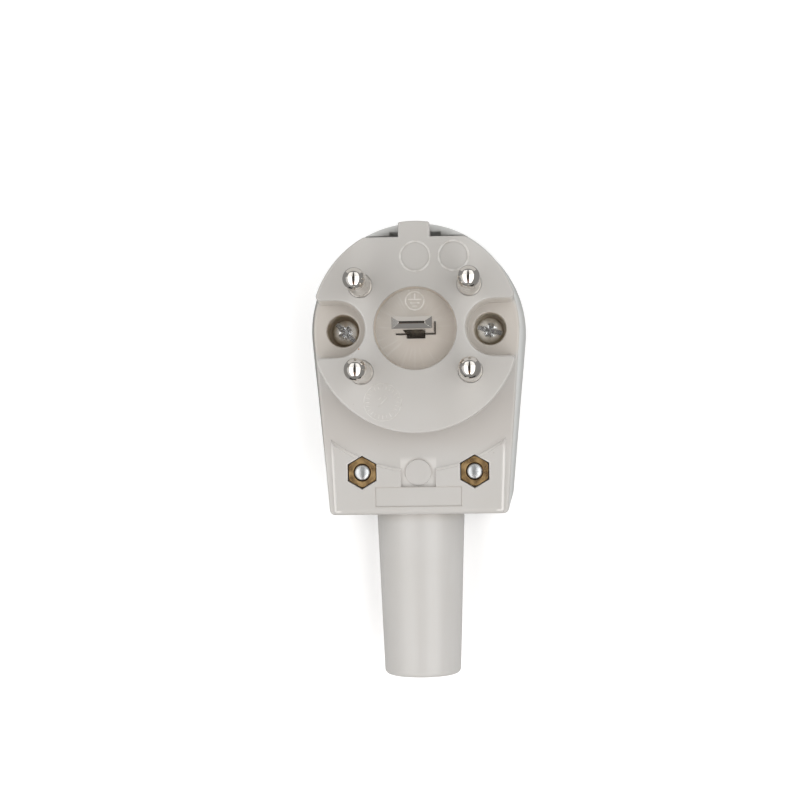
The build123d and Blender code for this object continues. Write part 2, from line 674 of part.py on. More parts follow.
def make_contact_retainer():
    """Insulating plate that holds all five contacts against the front housing."""
    width = PIN_SPACING_X + 2 * RETAINER_EDGE
    height = PIN_SPACING_Y + 2 * RETAINER_EDGE
    face = RectangleRounded(width, height, RETAINER_EDGE - RETAINER_GAP)
    for side in sides.values():
        face -= Pos(side * cover_screw_x, 0) * Circle(screw_tube_radius + 2 * RETAINER_GAP)
    for x, y in pin_places.values():
        face -= Pos(x, y) * Circle(neck_radius + RETAINER_GAP)
    face -= Pos(0, BLADE_Y) * Circle(neck_radius + RETAINER_GAP)
    for sign in (-1, 1):
        face -= Pos(0, sign * RETAINER_SCREW_Y) * Circle(RETAINER_SCREW_RADIUS + HOLE_GAP)
    return rise(face, retainer_back_z, tower_end_z)


def make_retainer_screw(sign):
    """Screw that fixes the contact retainer to its boss."""
    made = screw(TERMINAL_HEAD_RADIUS, TERMINAL_HEAD_HEIGHT, RETAINER_SCREW_RADIUS, RETAINER_SCREW_LENGTH)
    return Pos(0, sign * RETAINER_SCREW_Y, retainer_back_z) * Rot(180, 0, 0) * made


def make_cord_clamp():
    """Arched bridge with an ear at each end and two gripping ridges inside."""
    half_length = CLAMP_LENGTH / 2
    ends = (-CLAMP_Y - half_length, -CLAMP_Y + half_length)
    ears = SlotCenterToCenter(CLAMP_SCREW_SPACING, 2 * CLAMP_EAR_RADIUS)
    clamp = Pos(0, -CLAMP_Y) * rise(ears, clamp_ear_back_z, clamp_ear_top_z)
    arch = bar_along_y(CLAMP_ARCH_RADIUS + CLAMP_ARCH_WALL, *ends, sleeve_z)
    arch &= block((-FAR, FAR), (-FAR, 0), (-FAR, clamp_ear_top_z))
    clamp += arch
    clamp -= bar_along_y(CLAMP_ARCH_RADIUS, ends[0] - OVERCUT, ends[1] + OVERCUT, sleeve_z)
    for sign in (-1, 1):
        middle = -CLAMP_Y + sign * CLAMP_RIDGE_PITCH / 2
        ridge_ends = (middle - CLAMP_RIDGE_WIDTH / 2, middle + CLAMP_RIDGE_WIDTH / 2)
        ridge = bar_along_y(CLAMP_ARCH_RADIUS + CLAMP_RIDGE_HEIGHT, *ridge_ends, sleeve_z)
        ridge -= bar_along_y(CLAMP_ARCH_RADIUS - CLAMP_RIDGE_HEIGHT, *ridge_ends, sleeve_z)
        clamp += ridge & block((-FAR, FAR), (-FAR, 0), (-FAR, clamp_ear_back_z))
        hole = SCREW_RADIUS + HOLE_GAP
        clamp -= post(sign * CLAMP_SCREW_SPACING / 2, -CLAMP_Y, hole, 0, clamp_seat_z)
    return clamp


def make_clamp_screw(side):
    """Screw that draws the clamp to the front housing."""
    made = screw(SCREW_HEAD_RADIUS, SCREW_HEAD_HEIGHT, SCREW_RADIUS, clamp_tip_z - clamp_ear_back_z)
    return Pos(side * CLAMP_SCREW_SPACING / 2, -CLAMP_Y, clamp_ear_back_z) * Rot(180, 0, 0) * made


def make_clamp_nut(side):
    """Hexagonal nut in its pocket on the front."""
    prism = rise(hexagon(NUT_ACROSS_FLATS), 0, NUT_HEIGHT)
    corner_radius = NUT_ACROSS_FLATS / math.sqrt(3)
    narrow = SCREW_RADIUS + THREAD_GAP
    wide = narrow + NUT_BORE_CHAMFER
    bore_mouths = ((wide, narrow, 0), (narrow, wide, NUT_HEIGHT - NUT_BORE_CHAMFER))
    cone = turned(
        Polyline(
            (0, 0),
            (corner_radius - NUT_CHAMFER, 0),
            (corner_radius, NUT_CHAMFER),
            (corner_radius, NUT_HEIGHT - NUT_CHAMFER),
            (corner_radius - NUT_CHAMFER, NUT_HEIGHT),
            (0, NUT_HEIGHT),
            (0, 0),
        )
    )
    bore = post(0, 0, narrow, 0, NUT_HEIGHT)
    bore = [bore] + [
        Pos(0, 0, low) * Cone(below, above, NUT_BORE_CHAMFER, align=(Align.CENTER, Align.CENTER, Align.MIN))
        for below, above, low in bore_mouths
    ]
    nut = (prism & cone) - bore
    return Pos(side * CLAMP_SCREW_SPACING / 2, -CLAMP_Y, nut_floor_z) * nut


def make_cover_screw(side):
    """Screw with a slotted cross head that holds the cover from the front."""
    made = screw(SCREW_HEAD_RADIUS, SCREW_HEAD_HEIGHT, SCREW_RADIUS, COVER_SCREW_LENGTH, cross=True)
    turn_deg = -45 if side < 0 else -15
    return Pos(side * cover_screw_x, 0, cover_seat_z) * Rot(0, 0, turn_deg) * made


def make_cover_insert(side):
    """Threaded bush pressed into a boss of the cover."""
    top = insert_boss_z - SEAT_GAP
    middle = top - INSERT_LENGTH / 2
    bush = post(0, 0, INSERT_RADIUS, top - INSERT_LENGTH, top)
    band = post(0, 0, INSERT_RADIUS + OVERCUT, middle - INSERT_GROOVE_WIDTH / 2, middle + INSERT_GROOVE_WIDTH / 2)
    band -= post(0, 0, INSERT_RADIUS - INSERT_GROOVE_DEPTH, 0, BODY_DEPTH)
    bush -= band
    bush -= post(0, 0, SCREW_RADIUS + THREAD_GAP, 0, BODY_DEPTH)
    return Pos(side * cover_screw_x, 0) * bush


def make_all():
    """Every piece of the plug by the name of its node."""
    pieces = {
        "front_housing": make_front_housing(),
        "rear_cover": make_rear_cover(),
        "cable_sleeve": make_cable_sleeve(),
        "contact_retainer": make_contact_retainer(),
        "earth_contact": make_earth_contact(),
        "terminal_screw_earth": make_terminal_screw(0, BLADE_Y),
        "cord_clamp": make_cord_clamp(),
        "retainer_screw_upper": make_retainer_screw(1),
        "retainer_screw_lower": make_retainer_screw(-1),
    }
    for place, (x, y) in pin_places.items():
        pieces[f"contact_pin_{place}"] = make_contact_pin(x, y)
        pieces[f"terminal_screw_{place}"] = make_terminal_screw(x, y)
    for name, side in sides.items():
        pieces[f"clamp_screw_{name}"] = make_clamp_screw(side)
        pieces[f"clamp_nut_{name}"] = make_clamp_nut(side)
        pieces[f"cover_screw_{name}"] = make_cover_screw(side)
        pieces[f"cover_insert_{name}"] = make_cover_insert(side)
    return pieces


os.makedirs("parts", exist_ok=True)
for node, shape in make_all().items():
    export_step(shape, f"parts/{node}.step")
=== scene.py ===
import math

import bmesh
import bpy
from bpy.props import FloatProperty, FloatVectorProperty, IntProperty, PointerProperty
from mathutils import Matrix, Vector


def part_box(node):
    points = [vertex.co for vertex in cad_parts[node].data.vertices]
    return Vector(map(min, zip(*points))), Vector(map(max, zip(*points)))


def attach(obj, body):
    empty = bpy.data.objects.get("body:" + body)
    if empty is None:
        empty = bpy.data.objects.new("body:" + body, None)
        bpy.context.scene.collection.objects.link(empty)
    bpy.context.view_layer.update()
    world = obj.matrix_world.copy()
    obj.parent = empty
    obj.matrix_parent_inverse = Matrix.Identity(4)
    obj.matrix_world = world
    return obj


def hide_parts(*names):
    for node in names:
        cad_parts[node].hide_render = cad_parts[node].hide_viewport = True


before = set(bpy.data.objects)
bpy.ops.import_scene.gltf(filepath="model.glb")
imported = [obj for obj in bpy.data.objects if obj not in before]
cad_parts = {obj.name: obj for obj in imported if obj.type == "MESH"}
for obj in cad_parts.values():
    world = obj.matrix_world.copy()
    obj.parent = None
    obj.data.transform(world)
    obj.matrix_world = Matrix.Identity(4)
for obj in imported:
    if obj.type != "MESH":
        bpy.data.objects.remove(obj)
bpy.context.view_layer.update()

bl_info = {
    "name": "Angled Plug",
    "version": (1, 0, 0),
    "blender": (4, 5, 0),
    "location": "3D View > Sidebar > Plug",
    "description": "Surface detail, fasteners and finishes of an angled five-pole plug",
    "category": "Object",
}

MM = 0.001
FLOOR_GAP = 0.0001

# Levels of the faces above the back, in millimetres
DISC_FACE = 33.0
PAD_FACE = 26.3
PLATE_FACE = 25.4
BALL_MIDDLE = 50.4

# Places on the front housing, in millimetres, that its finish and its raised marks share
RECESS_FOOT = 9.2
RECESS_DEPTH = 4.4
RECESS_DISH = 0.4
MARK_PLACES = ((0.2, 16.3), (8.95, 16.3))
MARK_RADIUS = 3.37
BADGE_PLACE = (0.0, -32.9)
BADGE_RADIUS = 2.95
LABEL_PLACE = (0.0, -38.5)
LABEL_HALF = (9.95, 2.25)
DATE_PLACE = (-7.6, -16.7)
SYMBOL_PLACE = (-0.15, 6.5)
CLAMP_PLACE = (13.0, -32.8)
COVER_SCREW_X = 17.0
PINS = sorted(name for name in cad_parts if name.startswith("contact_pin_"))

# Rear cover's flare: its foot and top, and how far it leans out at the top and on the left
FLARE_FOOT = 6.0 * MM
FLARE_TOP = 24.9 * MM
FLARE_REACH = 1.15 * MM
FLARE_REACH_LEFT = 0.65 * MM

# Screws in millimetres: a slot is (width, depth) and a cross is (width, length, depth)
PLAIN_SCREW = {
    "shank": 1.75, "head_height": 2.2, "head_up": False, "domed": False, "crown": 0.12,
    "slot": (0.8, 0.9), "cross": (0.8, 0.9, 0.9),
}
COVER_SCREW = {
    "head_height": 2.0, "head_up": True, "crown": 0.16,
    "slot": (1.1, 1.0), "cross": (1.4, 3.5, 1.4),
}
CLAMP_SCREW = {"head_height": 2.0, "domed": True}
SCREWS = {
    "cover_screw_left": {**COVER_SCREW, "turn_deg": -45.0},
    "cover_screw_right": {**COVER_SCREW, "turn_deg": -15.0},
    "clamp_screw_left": CLAMP_SCREW,
    "clamp_screw_right": CLAMP_SCREW,
    "retainer_screw_upper": {"shank": 1.45},
    "retainer_screw_lower": {"shank": 1.45},
    "terminal_screw_upper_left": {},
    "terminal_screw_upper_right": {},
    "terminal_screw_lower_left": {},
    "terminal_screw_lower_right": {},
    "terminal_screw_earth": {},
}
TURN_STEP_DEG = 37.0

# Soft lights: two edges as (x, z), the run along Y, in metres, and the setting of the power
BEFORE = (-1.1, 0.15)
BEYOND = (0.15, 1.0)
SOFT_LIGHTS = {
    "soft_light_left": ((-0.13, 0.52), (-0.45, 0.34), BEFORE, "left_glow"),
    "soft_light_low": ((-0.45, 0.34), (-0.62, 0.12), BEFORE, "low_glow"),
    "soft_light_right": ((0.11, 0.51), (0.47, 0.35), BEFORE, "right_glow"),
    "soft_light_top_left": ((-0.09, 0.53), (-0.65, 0.4), BEYOND, "top_glow"),
    "soft_light_top_right": ((0.09, 0.53), (0.65, 0.4), BEYOND, "top_glow"),
}


# Node trees written from Python


def sign(operation, reflected=False):
    """A method that adds a Math node for one of Python's signs."""

    def apply(value, *terms):
        terms = (*terms, value) if reflected else (value, *terms)
        return value.graph.math(operation, *terms)

    return apply


class Value:
    """A node's output that takes part in sums: a sum of values adds its Math nodes."""

    def __init__(self, graph, socket):
        self.graph = graph
        self.socket = socket

    def output(self, name):
        return Value(self.graph, self.socket.node.outputs[name])

    __add__, __radd__ = sign("ADD"), sign("ADD", reflected=True)
    __sub__, __rsub__ = sign("SUBTRACT"), sign("SUBTRACT", reflected=True)
    __mul__, __rmul__ = sign("MULTIPLY"), sign("MULTIPLY", reflected=True)
    __truediv__ = sign("DIVIDE")
    __mod__ = sign("FLOORED_MODULO")
    __abs__ = sign("ABSOLUTE")


class Graph:
    """A node tree. Its add method makes any node, and its other methods make the common ones."""

    def __init__(self, tree):
        self.tree = tree

    def add(self, kind, settings=None, inputs=None, output=0):
        node = self.tree.nodes.new(kind)
        for key, setting in (settings or {}).items():
            setattr(node, key, setting)
        for key, term in (inputs or {}).items():
            socket = node.inputs[key]
            if isinstance(term, list):
                for each in term:
                    self.tree.links.new(each.socket, socket)
            elif isinstance(term, Value):
                self.tree.links.new(term.socket, socket)
            else:
                socket.default_value = term
        return Value(self, node.outputs[output]) if node.outputs else node

    def math(self, operation, *terms):
        return self.add("ShaderNodeMath", {"operation": operation}, dict(enumerate(terms)))

    def vector(self, x=0.0, y=0.0, z=0.0):
        return self.add("ShaderNodeCombineXYZ", inputs={0: x, 1: y, 2: z})

    def axes(self, vector):
        split = self.add("ShaderNodeSeparateXYZ", inputs={0: vector})
        return split, split.output("Y"), split.output("Z")

    def smooth(self, low, high, term):
        """0 below low and 1 above high, or the other way round where low is the larger."""
        return self.add(
            "ShaderNodeMapRange",
            {"interpolation_type": "SMOOTHSTEP"},
            {"Value": term, "From Min": low, "From Max": high},
        )

    def length(self, *terms):
        total = terms[0] * terms[0]
        for term in terms[1:]:
            total = total + term * term
        return self.math("SQRT", total)

    def larger(self, *terms):
        most = terms[0]
        for term in terms[1:]:
            most = self.math("MAXIMUM", most, term)
        return most


class Finish(Graph):
    """A material's nodes. x, y and z are the place on the object in millimetres."""

    def __init__(self, name, colour=(1.0, 1.0, 1.0)):
        self.colour = colour
        self.material = bpy.data.materials.new(name)
        self.material.use_nodes = True
        super().__init__(self.material.node_tree)
        self.tree.nodes.clear()
        place = self.add("ShaderNodeTexCoord").output("Object")
        self.place = self.add(
            "ShaderNodeVectorMath", {"operation": "SCALE"}, {0: place, "Scale": 1 / MM}
        )
        self.x, self.y, self.z = self.axes(self.place)

    def noise(self, scale, detail=2.0, vector=None):
        return self.add(
            "ShaderNodeTexNoise",
            inputs={"Vector": vector or self.place, "Scale": scale, "Detail": detail},
        )

    def mix(self, share, below, above):
        return self.add(
            "ShaderNodeMix", {"data_type": "RGBA"}, {0: share, 6: below, 7: above}, output=2
        )

    def away(self, x, y):
        """Distance in millimetres from an upright line."""
        return self.length(self.x - x, self.y - y)

    def nearest(self, places):
        """Distance in millimetres from the nearest of several upright lines."""
        least = self.away(*places[0])
        for place in places[1:]:
            least = self.math("MINIMUM", least, self.away(*place))
        return least

    def soft_edges(self, radius):
        return self.add("ShaderNodeBevel", {"samples": 6}, {"Radius": radius * MM})

    def edge_highlight_mask(self, radius):
        """1 along sharp outer edges, where a painted highlight goes."""
        plain = self.add("ShaderNodeNewGeometry").output("Normal")
        normals = {0: self.soft_edges(radius), 1: plain}
        alike = self.add("ShaderNodeVectorMath", {"operation": "DOT_PRODUCT"}, normals)
        return self.smooth(0.995, 0.9, alike.output("Value"))

    def bumps(self, strength, distance, height, edge):
        """Small bumps, their distance in millimetres, over edges softened by a radius."""
        return self.add(
            "ShaderNodeBump",
            inputs={
                "Strength": strength,
                "Distance": distance * MM,
                "Height": height,
                "Normal": self.soft_edges(edge),
            },
        )

    def crease(self, reach):
        """1 deep in a corner and 0 in the open."""
        settings = {"samples": 4, "only_local": True}
        corner = self.add("ShaderNodeAmbientOcclusion", settings, {"Distance": reach * MM})
        return 1 - corner.output("AO")

    def stain(self, share, base, tint):
        """Turns base towards a tinted copy of the finish's own colour."""
        return self.mix(share, base, tinted(self.colour, tint))

    def shade(self, base, roughness, normal=None, others=None):
        """Closes the material. The others are sockets of the shader that stay the same all over."""
        settings = {"Base Color": base, "Roughness": roughness, **(others or {})}
        if normal:
            settings["Normal"] = normal
        surface = self.add("ShaderNodeBsdfPrincipled", inputs=settings)
        self.add("ShaderNodeOutputMaterial", inputs={"Surface": surface})
        return self.material


def rgba(colour):
    return (*colour, 1.0)


def tinted(colour, tint):
    return rgba([part * share for part, share in zip(colour, tint)])


# Finishes


def moulded_plastic(finish, dirt_and_shade_share):
    """Colour of all the moulded pieces: cloudy patches, specks, and brown creases, grime and
    painted shade together.
    """
    colour = finish.colour
    clouds = finish.noise(0.05)
    streaks = finish.noise(0.35)
    cloudy = finish.smooth(0.2, 0.8, clouds)
    streaked = finish.smooth(0.3, 0.9, streaks) * 0.14
    base = finish.mix(cloudy, tinted(colour, (0.95, 0.945, 0.93)), rgba(colour))
    base = finish.stain(streaked, base, (0.93, 0.91, 0.88))
    cells = finish.add("ShaderNodeTexVoronoi", inputs={"Vector": finish.place, "Scale": 0.22})
    chance = finish.add("ShaderNodeSeparateColor", inputs={0: cells.output("Color")})
    speck = finish.smooth(0.045, 0.02, cells.output("Distance")) * finish.smooth(0.78, 0.8, chance)
    base = finish.stain(speck * 0.4, base, (0.5, 0.42, 0.35))
    # Brown in creases from an occlusion mask: grime and painted shade together
    crease = finish.crease(1.1)
    dirt_and_shade = finish.smooth(0.4, 1.0, crease) * (0.55 + 0.45 * finish.smooth(0.35, 0.6, streaks))
    return finish.stain(dirt_and_shade * dirt_and_shade_share, base, (0.55, 0.42, 0.3))


def moulded_normal(finish, edge, grain):
    """Soft edges with the fine grain of a moulding tool."""
    return finish.bumps(grain, 0.02, finish.noise(1.3), edge)


def front_plastic(sizes):
    """Front housing: stained recess, painted light in the wells, dirty lines round the label and
    badge.
    """
    finish = Finish("front_plastic", sizes.front_colour)
    colour = sizes.front_colour
    x, y, z = finish.x, finish.y, finish.z
    smooth = finish.smooth
    base = moulded_plastic(finish, 0.12 + 0.33 * smooth(-22.0, -18.0, y))
    top_face = smooth(DISC_FACE - 0.4, DISC_FACE - 0.2, z)
    below_disc = smooth(DISC_FACE - 0.05, DISC_FACE - 0.5, z)
    below_plate = smooth(PLATE_FACE - 0.1, PLATE_FACE - 0.5, z)

    # Recess: beige, with pale rays that run outwards
    from_middle = finish.away(0, 0)
    in_recess = smooth(RECESS_FOOT + 0.3, RECESS_FOOT, from_middle) * below_disc
    angle = finish.math("ARCTAN2", y, x)
    rays = finish.noise(1.0, detail=3.0, vector=finish.vector(angle * 9, from_middle * 0.12, 3.0))
    upper_left = smooth(-2.0, 8.0, y * 0.5 - x)
    ray_share = smooth(0.5, 0.68, rays) * smooth(3.0, 5.5, from_middle)
    beige = finish.mix(
        ray_share * (0.25 + 0.6 * upper_left),
        tinted(colour, (1.14, 1.08, 1.01)),
        tinted(colour, (1.36, 1.35, 1.32)),
    )
    beige = finish.stain(upper_left * 0.4, beige, (1.32, 1.33, 1.31))
    base = finish.mix(in_recess * 0.85, base, beige)

    # Notch floors a little lighter, and painted light in the deep wells of the cover screws,
    # browner on the left
    for side, painted_shading in ((-1, (1.15, 1.0, 0.78)), (1, (1.45, 1.35, 1.18))):
        from_screw = finish.away(side * COVER_SCREW_X, 0)
        in_notch = smooth(DISC_FACE - 0.1, DISC_FACE - 0.7, z)
        in_notch = in_notch * smooth(9.0, 7.5, from_screw)
        base = finish.stain(in_notch * 0.8, base, (1.1, 1.05, 0.99))
        in_well = smooth(4.1, 3.8, from_screw) * below_plate
        base = finish.stain(in_well * 0.9, base, painted_shading)

    # Dirty line round the label and the lower half of the badge
    from_label = finish.larger(
        abs(x - LABEL_PLACE[0]) - LABEL_HALF[0], abs(y - LABEL_PLACE[1]) - LABEL_HALF[1]
    )
    from_badge = abs(finish.away(*BADGE_PLACE) - BADGE_RADIUS - 0.2)
    badge_line = smooth(0.35, 0.05, from_badge) * smooth(-34.5, -32.5, y)
    line = finish.larger(smooth(0.3, 0.05, abs(from_label)), badge_line)
    front_only = smooth(24.0, 25.0, z)
    base = finish.stain(line * front_only * 0.3, base, (0.8, 0.72, 0.64))

    # Painted highlights on the walls of the pad and beside the badge, painted light round the
    # contacts
    pad_wall = smooth(PLATE_FACE + 0.02, PLATE_FACE + 0.15, z)
    pad_wall = pad_wall * smooth(PAD_FACE - 0.02, PAD_FACE - 0.15, z)
    pad_wall = pad_wall * smooth(-20.0, -22.0, y)
    pad_side = smooth(17.5, 18.5, abs(x)) * smooth(-42.2, -41.6, y)
    pad_arc = smooth(-36.0, -35.7, y) * smooth(3.2, 3.6, finish.away(*BADGE_PLACE))
    pad_arc = pad_arc * (0.8 + 0.2 * smooth(12.0, 18.0, abs(x)))
    beside_badge = smooth(4.3, 4.0, abs(x)) * smooth(-29.0, -30.5, y)
    beside_badge = beside_badge * smooth(PLATE_FACE + 0.2, PLATE_FACE + 0.05, z)
    painted_highlight = finish.larger(pad_wall * finish.larger(pad_side, pad_arc), beside_badge * 0.3)
    base = finish.stain(painted_highlight, base, (1.6, 1.6, 1.6))
    # Painted light on the hole walls round the contacts, where shade falls
    painted_light_round_pins = smooth(3.3, 3.1, finish.nearest([middle_in_mm(name) for name in PINS]))
    painted_light_round_pins = painted_light_round_pins * smooth(DISC_FACE - 0.02, DISC_FACE - 0.2, z)
    base = finish.stain(painted_light_round_pins, base, (1.8, 1.75, 1.68))

    # Plate, painted light on the recess wall and edges, painted shade upper left, one brown spot
    on_plate = smooth(-12.0, -16.0, y) * smooth(-30.0, -24.0, y)
    on_plate = on_plate * smooth(31.0, 29.0, z)
    base = finish.stain(on_plate * 0.8, base, (0.93, 0.905, 0.885))
    # Painted light on the wall of the recess
    painted_light_on_recess_wall = smooth(9.15, 9.3, from_middle) * smooth(10.1, 9.9, from_middle)
    painted_light_on_recess_wall = painted_light_on_recess_wall * below_disc * smooth(28.0, 28.8, z)
    base = finish.stain(painted_light_on_recess_wall, base, (1.32, 1.2, 1.08))
    shadow = smooth(11.0, 3.0, finish.away(-18.0, 14.0)) * top_face
    base = finish.stain(shadow * 0.3, base, (0.84, 0.82, 0.8))
    # Painted highlight along the sharp outer edges, kept out of the corners
    rubbed = finish.edge_highlight_mask(0.25) * smooth(0.35, 0.1, finish.crease(0.8))
    base = finish.stain(rubbed * 0.6, base, (1.45, 1.46, 1.46))
    spot = smooth(0.24, 0.12, finish.away(-12.86, -4.58)) * top_face
    base = finish.mix(spot * 0.85, base, (0.33, 0.16, 0.05, 1.0))

    gloss = finish.noise(0.35, detail=3.0)
    roughness = sizes.front_roughness + 0.04 * gloss + 0.12 * in_recess
    return finish.shade(base, roughness, moulded_normal(finish, 0.3, 0.12), {"IOR": 1.49})


def cover_plastic(sizes):
    """Rear cover: cooler grey, rubbed lighter and rougher on its back; painted light and shade at
    the rim.
    """
    finish = Finish("cover_plastic", sizes.cover_colour)
    base = moulded_plastic(finish, 0.6)
    along = finish.vector(finish.x * 0.25, finish.y, finish.z)
    scuffs = finish.noise(0.9, detail=4.0, vector=along)
    rubbed = finish.smooth(3.0, 0.0, finish.z) * finish.smooth(0.45, 0.6, scuffs)
    base = finish.stain(rubbed * 0.35, base, (1.08, 1.07, 1.05))
    # Painted light near the rim on the upper side and on the right
    near_rim = finish.smooth(9.0, 19.0, finish.z)
    upper = finish.smooth(6.0, 20.0, finish.y) + finish.smooth(15.0, 24.0, finish.x)
    upper = finish.math("MINIMUM", upper, 1.0)
    base = finish.stain(upper * near_rim, base, (1.4, 1.4, 1.4))
    # Painted shade near the rim on the left
    left = finish.smooth(-15.0, -20.0, finish.x) * finish.smooth(16.0, 6.0, finish.y)
    base = finish.stain(left * near_rim, base, (0.68, 0.67, 0.65))
    roughness = sizes.cover_roughness + 0.12 * finish.noise(0.3) + 0.15 * rubbed
    return finish.shade(base, roughness, moulded_normal(finish, 0.25, 0.15), {"IOR": 1.49})


def sleeve_plastic(sizes):
    """Cable sleeve: smoother and softer plastic with faint lines drawn along its length."""
    finish = Finish("sleeve_plastic", sizes.sleeve_colour)
    base = moulded_plastic(finish, 0.5)
    along = finish.vector(finish.x * 1.6, finish.y * 0.05, finish.z * 1.6)
    drawn = finish.noise(1.0, detail=3.0, vector=along)
    base = finish.stain(finish.smooth(0.4, 0.75, drawn) * 0.25, base, (0.95, 0.93, 0.91))
    # Painted shadow on the sleeve's top, where it meets the body
    painted_shading = finish.smooth(-45.0, -42.4, finish.y)
    base = finish.stain(painted_shading * 0.35, base, (0.7, 0.62, 0.54))
    roughness = sizes.sleeve_roughness + 0.1 * finish.noise(0.25)
    return finish.shade(base, roughness, moulded_normal(finish, 0.25, 0.1), {"IOR": 1.5})


def plain_plastic(name, colour, roughness):
    """Moulded plastic of a hidden piece."""
    finish = Finish(name, colour)
    base = moulded_plastic(finish, 0.4)
    roughness = roughness + 0.1 * finish.noise(0.4)
    return finish.shade(base, roughness, moulded_normal(finish, 0.15, 0.3), {"IOR": 1.5})


def painted_highlight_plastic(name, colour):
    """Raised marks, coloured lighter than the faces round them as a painted highlight."""
    finish = Finish(name, colour)
    rubbed = finish.smooth(0.35, 0.65, finish.noise(0.6))
    base = finish.mix(rubbed, tinted(colour, (0.88, 0.87, 0.85)), rgba(colour))
    normal = moulded_normal(finish, 0.05, 0.1)
    return finish.shade(base, 0.27 + 0.1 * rubbed, normal, {"IOR": 1.49})


def nickel(sizes):
    """Polished nickel plating with faint smears, duller on the shanks of the pins."""
    finish = Finish("nickel", sizes.nickel_colour)
    smears = finish.noise(0.6, detail=4.0)
    turned = finish.vector(finish.x, finish.y, finish.z * 14)
    lines = finish.noise(1.0, vector=turned)
    warm = finish.smooth(0.5, 0.75, smears)
    base = finish.stain(warm * 0.4, rgba(finish.colour), (0.97, 0.9, 0.8))
    # Browner in creases from an occlusion mask: grime and painted shade together
    base = finish.stain(finish.crease(0.4) * 0.3, base, (0.6, 0.5, 0.38))
    below_ball = finish.smooth(BALL_MIDDLE, BALL_MIDDLE - 1.0, finish.z)
    on_shank = below_ball * finish.smooth(6.0, 8.0, finish.away(0, 0))
    roughness = sizes.nickel_roughness + 0.07 * smears + 0.2 * on_shank
    normal = finish.bumps(0.08, 0.01, lines + finish.noise(3.0), 0.1)
    return finish.shade(base, roughness, normal, {"Metallic": 1.0})


def zinc(name, colour, roughness, dent_strength):
    """Bright zinc on steel: crystalline patches, small dents and dark creases."""
    finish = Finish(name, colour)
    cells = finish.add("ShaderNodeTexVoronoi", inputs={"Vector": finish.place, "Scale": 1.6})
    patch = finish.add("ShaderNodeSeparateColor", inputs={0: cells.output("Color")})
    base = finish.stain(patch * 0.3, rgba(colour), (0.86, 0.87, 0.9))
    shadow = finish.smooth(0.25, 0.75, finish.crease(0.8))
    base = finish.stain(shadow * 0.85, base, (0.2, 0.19, 0.18))
    dents = finish.bumps(dent_strength, 0.05, finish.noise(1.5, detail=3.0), 0.12)
    return finish.shade(base, roughness + 0.09 * patch, dents, {"Metallic": 0.85})


def bright_zinc(sizes):
    return zinc("zinc_steel", sizes.zinc_colour, sizes.zinc_roughness, 0.6)


def dull_zinc(sizes):
    """Ends of the clamp screws, which stand in the open and have dulled."""
    colour = [0.5 * part for part in sizes.zinc_colour]
    return zinc("dull_zinc", colour, sizes.zinc_roughness + 0.1, 0.5)


def brass(sizes):
    """Turned brass gone brown in patches, with painted shade round the bores of the nuts."""
    colour = sizes.brass_colour
    finish = Finish("brass", colour)
    clouds = finish.noise(0.55, detail=4.0)
    base = finish.mix(
        finish.smooth(0.38, 0.62, clouds),
        tinted(colour, (0.68, 0.58, 0.5)),
        tinted(colour, (1.05, 0.93, 0.78)),
    )
    # Dark brown in creases from an occlusion mask: tarnish and painted shade together
    base = finish.stain(finish.crease(0.7) * 0.8, base, (0.3, 0.2, 0.12))
    from_bore = finish.length(abs(finish.x) - CLAMP_PLACE[0], finish.y - CLAMP_PLACE[1])
    painted_shade_round_bore = finish.smooth(2.2, 1.95, from_bore)
    base = finish.stain(painted_shade_round_bore * 0.9, base, (0.16, 0.11, 0.08))
    turned = finish.vector(finish.x * 8, finish.y * 1.2, finish.z * 8)
    grain = finish.noise(1.0, detail=3.0, vector=turned)
    roughness = sizes.brass_roughness + 0.2 * clouds
    return finish.shade(base, roughness, finish.bumps(0.4, 0.02, grain, 0.15), {"Metallic": 1.0})


# Geometry trees


class Shape(Graph):
    """A geometry tree with named inputs."""

    SOCKETS = {"float": "NodeSocketFloat", "int": "NodeSocketInt"}

    def __init__(self, name, inputs):
        super().__init__(bpy.data.node_groups.new(name, "GeometryNodeTree"))
        face = self.tree.interface
        face.new_socket("Geometry", in_out="INPUT", socket_type="NodeSocketGeometry")
        for label, kind in inputs.items():
            face.new_socket(label, in_out="INPUT", socket_type=self.SOCKETS[kind])
        face.new_socket("Material", in_out="INPUT", socket_type="NodeSocketMaterial")
        face.new_socket("Geometry", in_out="OUTPUT", socket_type="NodeSocketGeometry")
        self.given = self.add("NodeGroupInput")

    def named(self, label):
        return self.given.output(label)

    def finish(self, geometry):
        """Every tree ends in real geometry with its material set."""
        real = self.add("GeometryNodeRealizeInstances", inputs={"Geometry": geometry})
        painted = self.add(
            "GeometryNodeSetMaterial", inputs={"Geometry": real, "Material": self.named("Material")}
        )
        self.add("NodeGroupOutput", inputs={"Geometry": painted})
        return self.tree

    def sample(self, geometry, kind, field, index):
        return self.add(
            "GeometryNodeSampleIndex",
            {"data_type": kind, "domain": "POINT"},
            {"Geometry": geometry, "Value": field, "Index": index},
        )

    def attribute(self, name):
        return self.add(
            "GeometryNodeInputNamedAttribute", {"data_type": "FLOAT"}, {"Name": name}
        )


